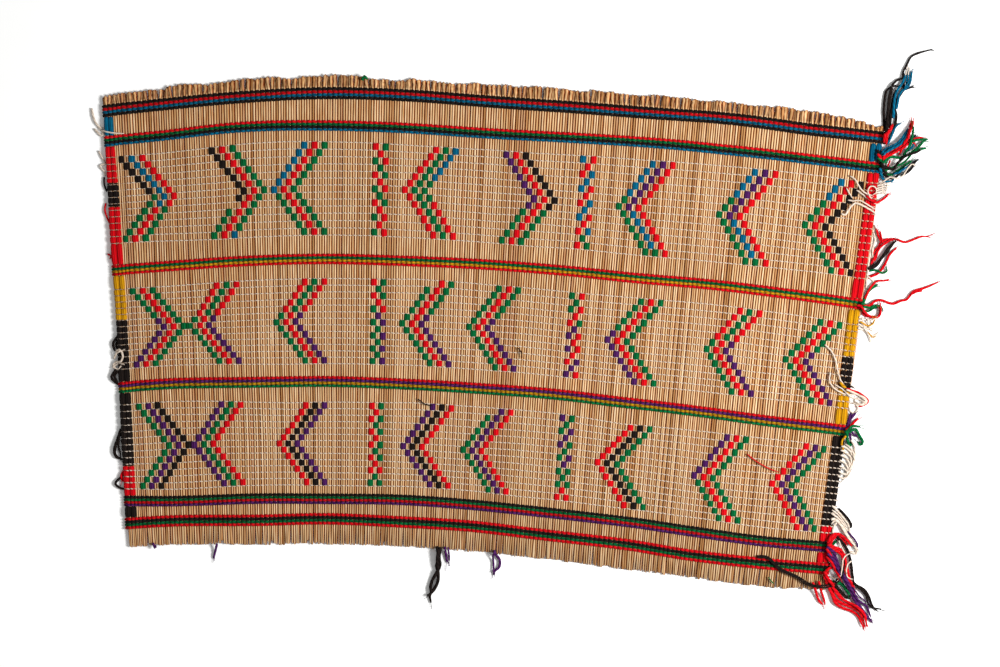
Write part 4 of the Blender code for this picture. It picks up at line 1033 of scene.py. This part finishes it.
def pillows(sides, tops, bottoms, grow, rise, loose=0.06):
    """Bundles of wool laid between two sides and drawn in where the rows above and below hold them."""
    steps = np.array([0.0, 0.05, 0.16, 0.5, 0.84, 0.95, 1.0])
    swell = np.array([0.6, 0.84, 0.98, 1.03, 0.98, 0.84, 0.6])
    each = (len(tops), 1)
    y = tops[:, None] + (bottoms - tops)[:, None] * steps
    left, right = sides(y)
    tilt = chance.normal(0, loose * 1.5, each) * (steps - 0.5)
    x = (left + right) / 2 + chance.normal(0, loose, each) + tilt
    paths = np.stack([x, y, np.full(x.shape, MID)], axis=2)
    wide = (right - left) * grow * swell * chance.uniform(0.95, 1.05, each)
    high = (STALK_HIGH - STALK_LOW) + rise * (swell - 0.5) / 0.53 * chance.uniform(0.88, 1.1, each)
    return tubes(paths, wide, high, 8, plies=9, lead=60.0, square=2.8)


def charted(words):
    """The wools of a charted strand, one for each block."""
    words = words.split()
    return [wool for wool, number in zip(words[::2], words[1::2]) for _ in range(int(number))]


def motif_blocks():
    """Every coloured block as (register, row, pair, wool)."""
    blocks = []
    for motif in CHEVRONS:
        way = 1 if motif.points == "right" else -1
        for row in range(MOTIF_ROWS):
            back = abs(row - MOTIF_ROWS // 2)
            for strand, words in enumerate((motif.left, motif.middle, motif.right)):
                column = STRANDS_APART * (strand if way < 0 else strand - 2)
                blocks.append((motif.register, row, motif.pair + column - way * back, charted(words)[row]))
    for motif in COLUMNS:
        left, middle, right = charted(motif.left), charted(motif.middle), charted(motif.right)
        for row in range(MOTIF_ROWS):
            if row % 2 == 0:
                blocks.append((motif.register, row, motif.pair - 1, left[row // 2]))
                blocks.append((motif.register, row, motif.pair + 1, right[row // 2]))
            else:
                blocks.append((motif.register, row, motif.pair, middle[row // 2]))
    return blocks


def laid_in_wool():
    """The motifs: one piece for each wool of each register. A block swells over its neighbours' threads."""
    swell, crown, loose = 1.33, 2.3, 0.13
    made, blocks = [], motif_blocks()
    for number, register in enumerate(REGISTERS, 1):
        for wool in WOOL:
            chosen = [block for block in blocks if block[0] == number and block[3] == wool]
            if not chosen:
                continue
            rows = np.array([block[1] for block in chosen], float)
            pairs = np.array([block[2] for block in chosen], float)
            tops = cream_height(register, rows, pairs + 0.5) + chance.normal(0.2, 0.12, len(rows))
            bottoms = cream_height(register, rows + 1, pairs + 0.5) + chance.normal(-0.2, 0.12, len(rows))
            sides = lambda y, pairs=pairs[:, None]: (stalk_x(pairs, y), stalk_x(pairs + 1.0, y))
            parts = pillows(sides, tops, bottoms, swell, crown, loose)
            made.append(piece(f"motif_{number}_{wool}", [parts], WOOL[wool]))
    return made


def edge_breaks(wrap, pair):
    """Where a wrapped stretch starts and ends at a pair, and each cream row that crosses it."""
    top = LINES[wrap.above](pair) - 2 * PITCH[wrap.above]
    bottom = LINES[wrap.below](pair) + 2 * PITCH[wrap.below]
    start = top + (bottom - top) * wrap.start
    end = top + (bottom - top) * wrap.end
    crossing = []
    for register in REGISTERS:
        if (register.above, register.below) == (wrap.above, wrap.below):
            crossing = [cream_height(register, row, pair) for row in range(CREAM_ROWS)]
    margin = 1.2
    inside = [y for y in crossing if end + margin < y < start - margin]
    return [start, *inside, end]


def wrapped_edges():
    """Two ribs of wool along each side edge, drawn in by each cream row."""
    swell, crown, overlap = 1.16, 2.6, 0.1
    made, counts = [], {"left": 0, "right": 0}
    for wrap in WRAPS:
        counts[wrap.side] += 1
        parts = []
        for rib in (0, 1):
            def sides(y, side=wrap.side, rib=rib):
                outer, inner = wrap_side(side, 0, y), wrap_side(side, 1, y)
                ends = outer + (inner - outer) * rib / 2, outer + (inner - outer) * (rib + 1) / 2
                return np.minimum(*ends), np.maximum(*ends)

            breaks = np.array(edge_breaks(wrap, 1.0 if wrap.side == "left" else PAIRS - 1.0))
            parts.append(pillows(sides, breaks[:-1] - overlap, breaks[1:] + overlap, swell, crown))
        node = f"wrap_{wrap.side}_{counts[wrap.side]}"
        made.append(piece(f"edge_{node}", parts, WOOL[wrap.colour], [node]))
    return made


def curved(way, step):
    """A smooth way through points, with a point at about every step."""
    way = np.concatenate([[2 * way[0] - way[1]], way, [2 * way[-1] - way[-2]]])
    points = []
    for p0, p1, p2, p3 in zip(way, way[1:], way[2:], way[3:]):
        count = max(2, int(np.linalg.norm(p2 - p1) / step))
        t = (np.arange(count) / count)[:, None]
        points.append(0.5 * (2 * p1 + (p2 - p0) * t + (2 * p0 - 5 * p1 + 4 * p2 - p3) * t**2
                             + (3 * p1 - p0 - 3 * p2 + p3) * t**3))
    points.append(way[-2][None, :])
    return np.concatenate(points)


def bed(flat):
    """The height that a strand lies on: just under the mat's top inside its outline, or the floor."""
    pairs = np.linspace(0, PAIRS, 2 * PAIRS + 1)
    heights = []
    for x, y in flat:
        pair = np.interp(x, stalk_x(pairs, np.full(len(pairs), y)), pairs)
        edge = pair <= 0.0 or pair >= PAIRS
        beyond = y > LINES["head"](pair) or y < LINES["foot"](pair)
        heights.append(0.0 if edge or beyond else TOP - 0.3)
    return np.array(heights)


def frayed(path, wide):
    """Fibres that part from the last stretch of a strand, thick enough to show."""
    fibres, fibre_wide, floor = 2, 0.42, 0.25
    if wide < 1.3 or len(path) < 6:
        return []
    parts = []
    for _ in range(fibres):
        start = len(path) - int(chance.integers(3, 6))
        fibre = path[start:].copy()
        grow = np.linspace(0, 1, len(fibre))
        out = chance.normal(0, 0.9, 2)
        fibre[:, :2] += grow[:, None] ** 1.5 * out[None, :]
        fibre[:, 2] = np.maximum(fibre[:, 2] * 0.9, floor)
        extra = fibre[-1] + (fibre[-1] - fibre[-2]) * chance.uniform(0.6, 1.6)
        extra[2] = max(extra[2], floor)
        fibre = np.concatenate([fibre, extra[None]])
        parts.append(tubes(fibre[None], fibre_wide, fibre_wide, 4))
    return parts


def loose_strands():
    """The loose ends, each laid down in turn on the floor, the mat and the strands that already lie there.

    Wool is springy, so a strand rises a little between its root and its tip. It lies fuller than its dark
    core shows in the photograph, slightly flattened by its own weight, and thins toward its tip.
    """
    fuller, flattened, step, wander = 1.25, 0.84, 1.6, 0.03
    highest, steepest, settling = TOP + 3.5, 0.12, 5
    groups, lain = {}, []
    for bunch, strands in STRANDS.items():
        for colour, drawn, *way in strands:
            flat = curved(spot(way), step)
            flat += np.cumsum(chance.normal(0, wander, flat.shape), axis=0)
            thick = drawn * fuller
            half = thick * flattened / 2
            share = np.linspace(0, 1, len(flat))
            length = np.linalg.norm(np.diff(flat, axis=0), axis=1).sum()
            spring = min(SPRING.get(bunch, USUAL_SPRING), steepest * length)
            z = bed(flat) + half + spring * np.sin(np.pi * share)
            for other, top, reach in lain:
                apart = np.linalg.norm(flat[:, None, :] - other[None, :, :], axis=2)
                over = np.where(apart < (half + reach) * 0.9, top[None, :], 0.0).max(axis=1)
                z = np.maximum(z, np.minimum(over, highest) + half * 0.5 * (over > 0))
            for _ in range(settling):
                padded = np.concatenate([z[:1], z, z[-1:]])
                z = np.maximum(z, (padded[:-2] + padded[1:-1] + padded[2:]) / 3)
            lain.append((flat, z + half * 0.6, half))
            wide = thick * np.interp(share, [0, 0.04, 0.85, 1], [0.9, 1.0, 0.9, 0.45])
            wide *= chance.uniform(0.93, 1.07, len(flat))
            path = np.concatenate([flat, z[:, None]], axis=1)
            parts = groups.setdefault((bunch, colour), [])
            parts.append(tubes(path[None], wide[None], wide[None] * flattened, 6))
            parts += frayed(path, thick)
    made = []
    for (bunch, colour), parts in groups.items():
        nodes = [] if bunch == "stray" else [f"ends_{bunch}"]
        made.append(piece(f"{bunch}_ends_{colour}", parts, WOOL[colour], nodes))
    return made


# The studio

def studio():
    """Plain pale floor, a soft key from the right, light from all round and a camera straight above."""
    floor_size = 6.0
    key_place, key_size, key_watts = (0.95, -0.1, 1.08), 0.5, 32.0
    all_round = 0.45
    lens, sensor = 100.0, 36.0

    scene = bpy.context.scene
    bpy.ops.mesh.primitive_grid_add(x_subdivisions=2, y_subdivisions=2, size=floor_size, location=(0, 0, 0))
    floor = bpy.context.object
    floor.name = "studio_floor"
    floor.data.materials.append(paper())
    data = bpy.data.lights.new("key", "AREA")
    data.shape = "DISK"
    data.size = key_size
    data.energy = key_watts
    lamp = bpy.data.objects.new("key", data)
    scene.collection.objects.link(lamp)
    lamp.location = key_place
    lamp.rotation_euler = (-Vector(key_place)).to_track_quat("-Z", "Y").to_euler()
    world = bpy.data.worlds.new("studio")
    world.use_nodes = True
    background = world.node_tree.nodes["Background"]
    background.inputs["Color"].default_value = linear("#FFFFFF")
    background.inputs["Strength"].default_value = all_round
    scene.world = world
    scene.view_settings.view_transform = "Standard"
    scene.view_settings.look = "None"

    data = bpy.data.cameras.new("camera")
    data.lens = lens
    data.sensor_width = sensor
    camera = bpy.data.objects.new("camera", data)
    scene.collection.objects.link(camera)
    x = PIXEL * (FRAME_WIDE / 2 - PHOTO_X) - CENTRE_X
    y = PIXEL * (PHOTO_Y - FRAME_HIGH / 2) - CENTRE_Y
    camera.location = (x * MM, y * MM, (FRAME_WIDE * PIXEL * lens / sensor + TOP) * MM)
    scene.camera = camera


studio()
stalks = rush_stalks()
others = twined_bands() + cream_twining() + laid_in_wool() + wrapped_edges() + loose_strands()
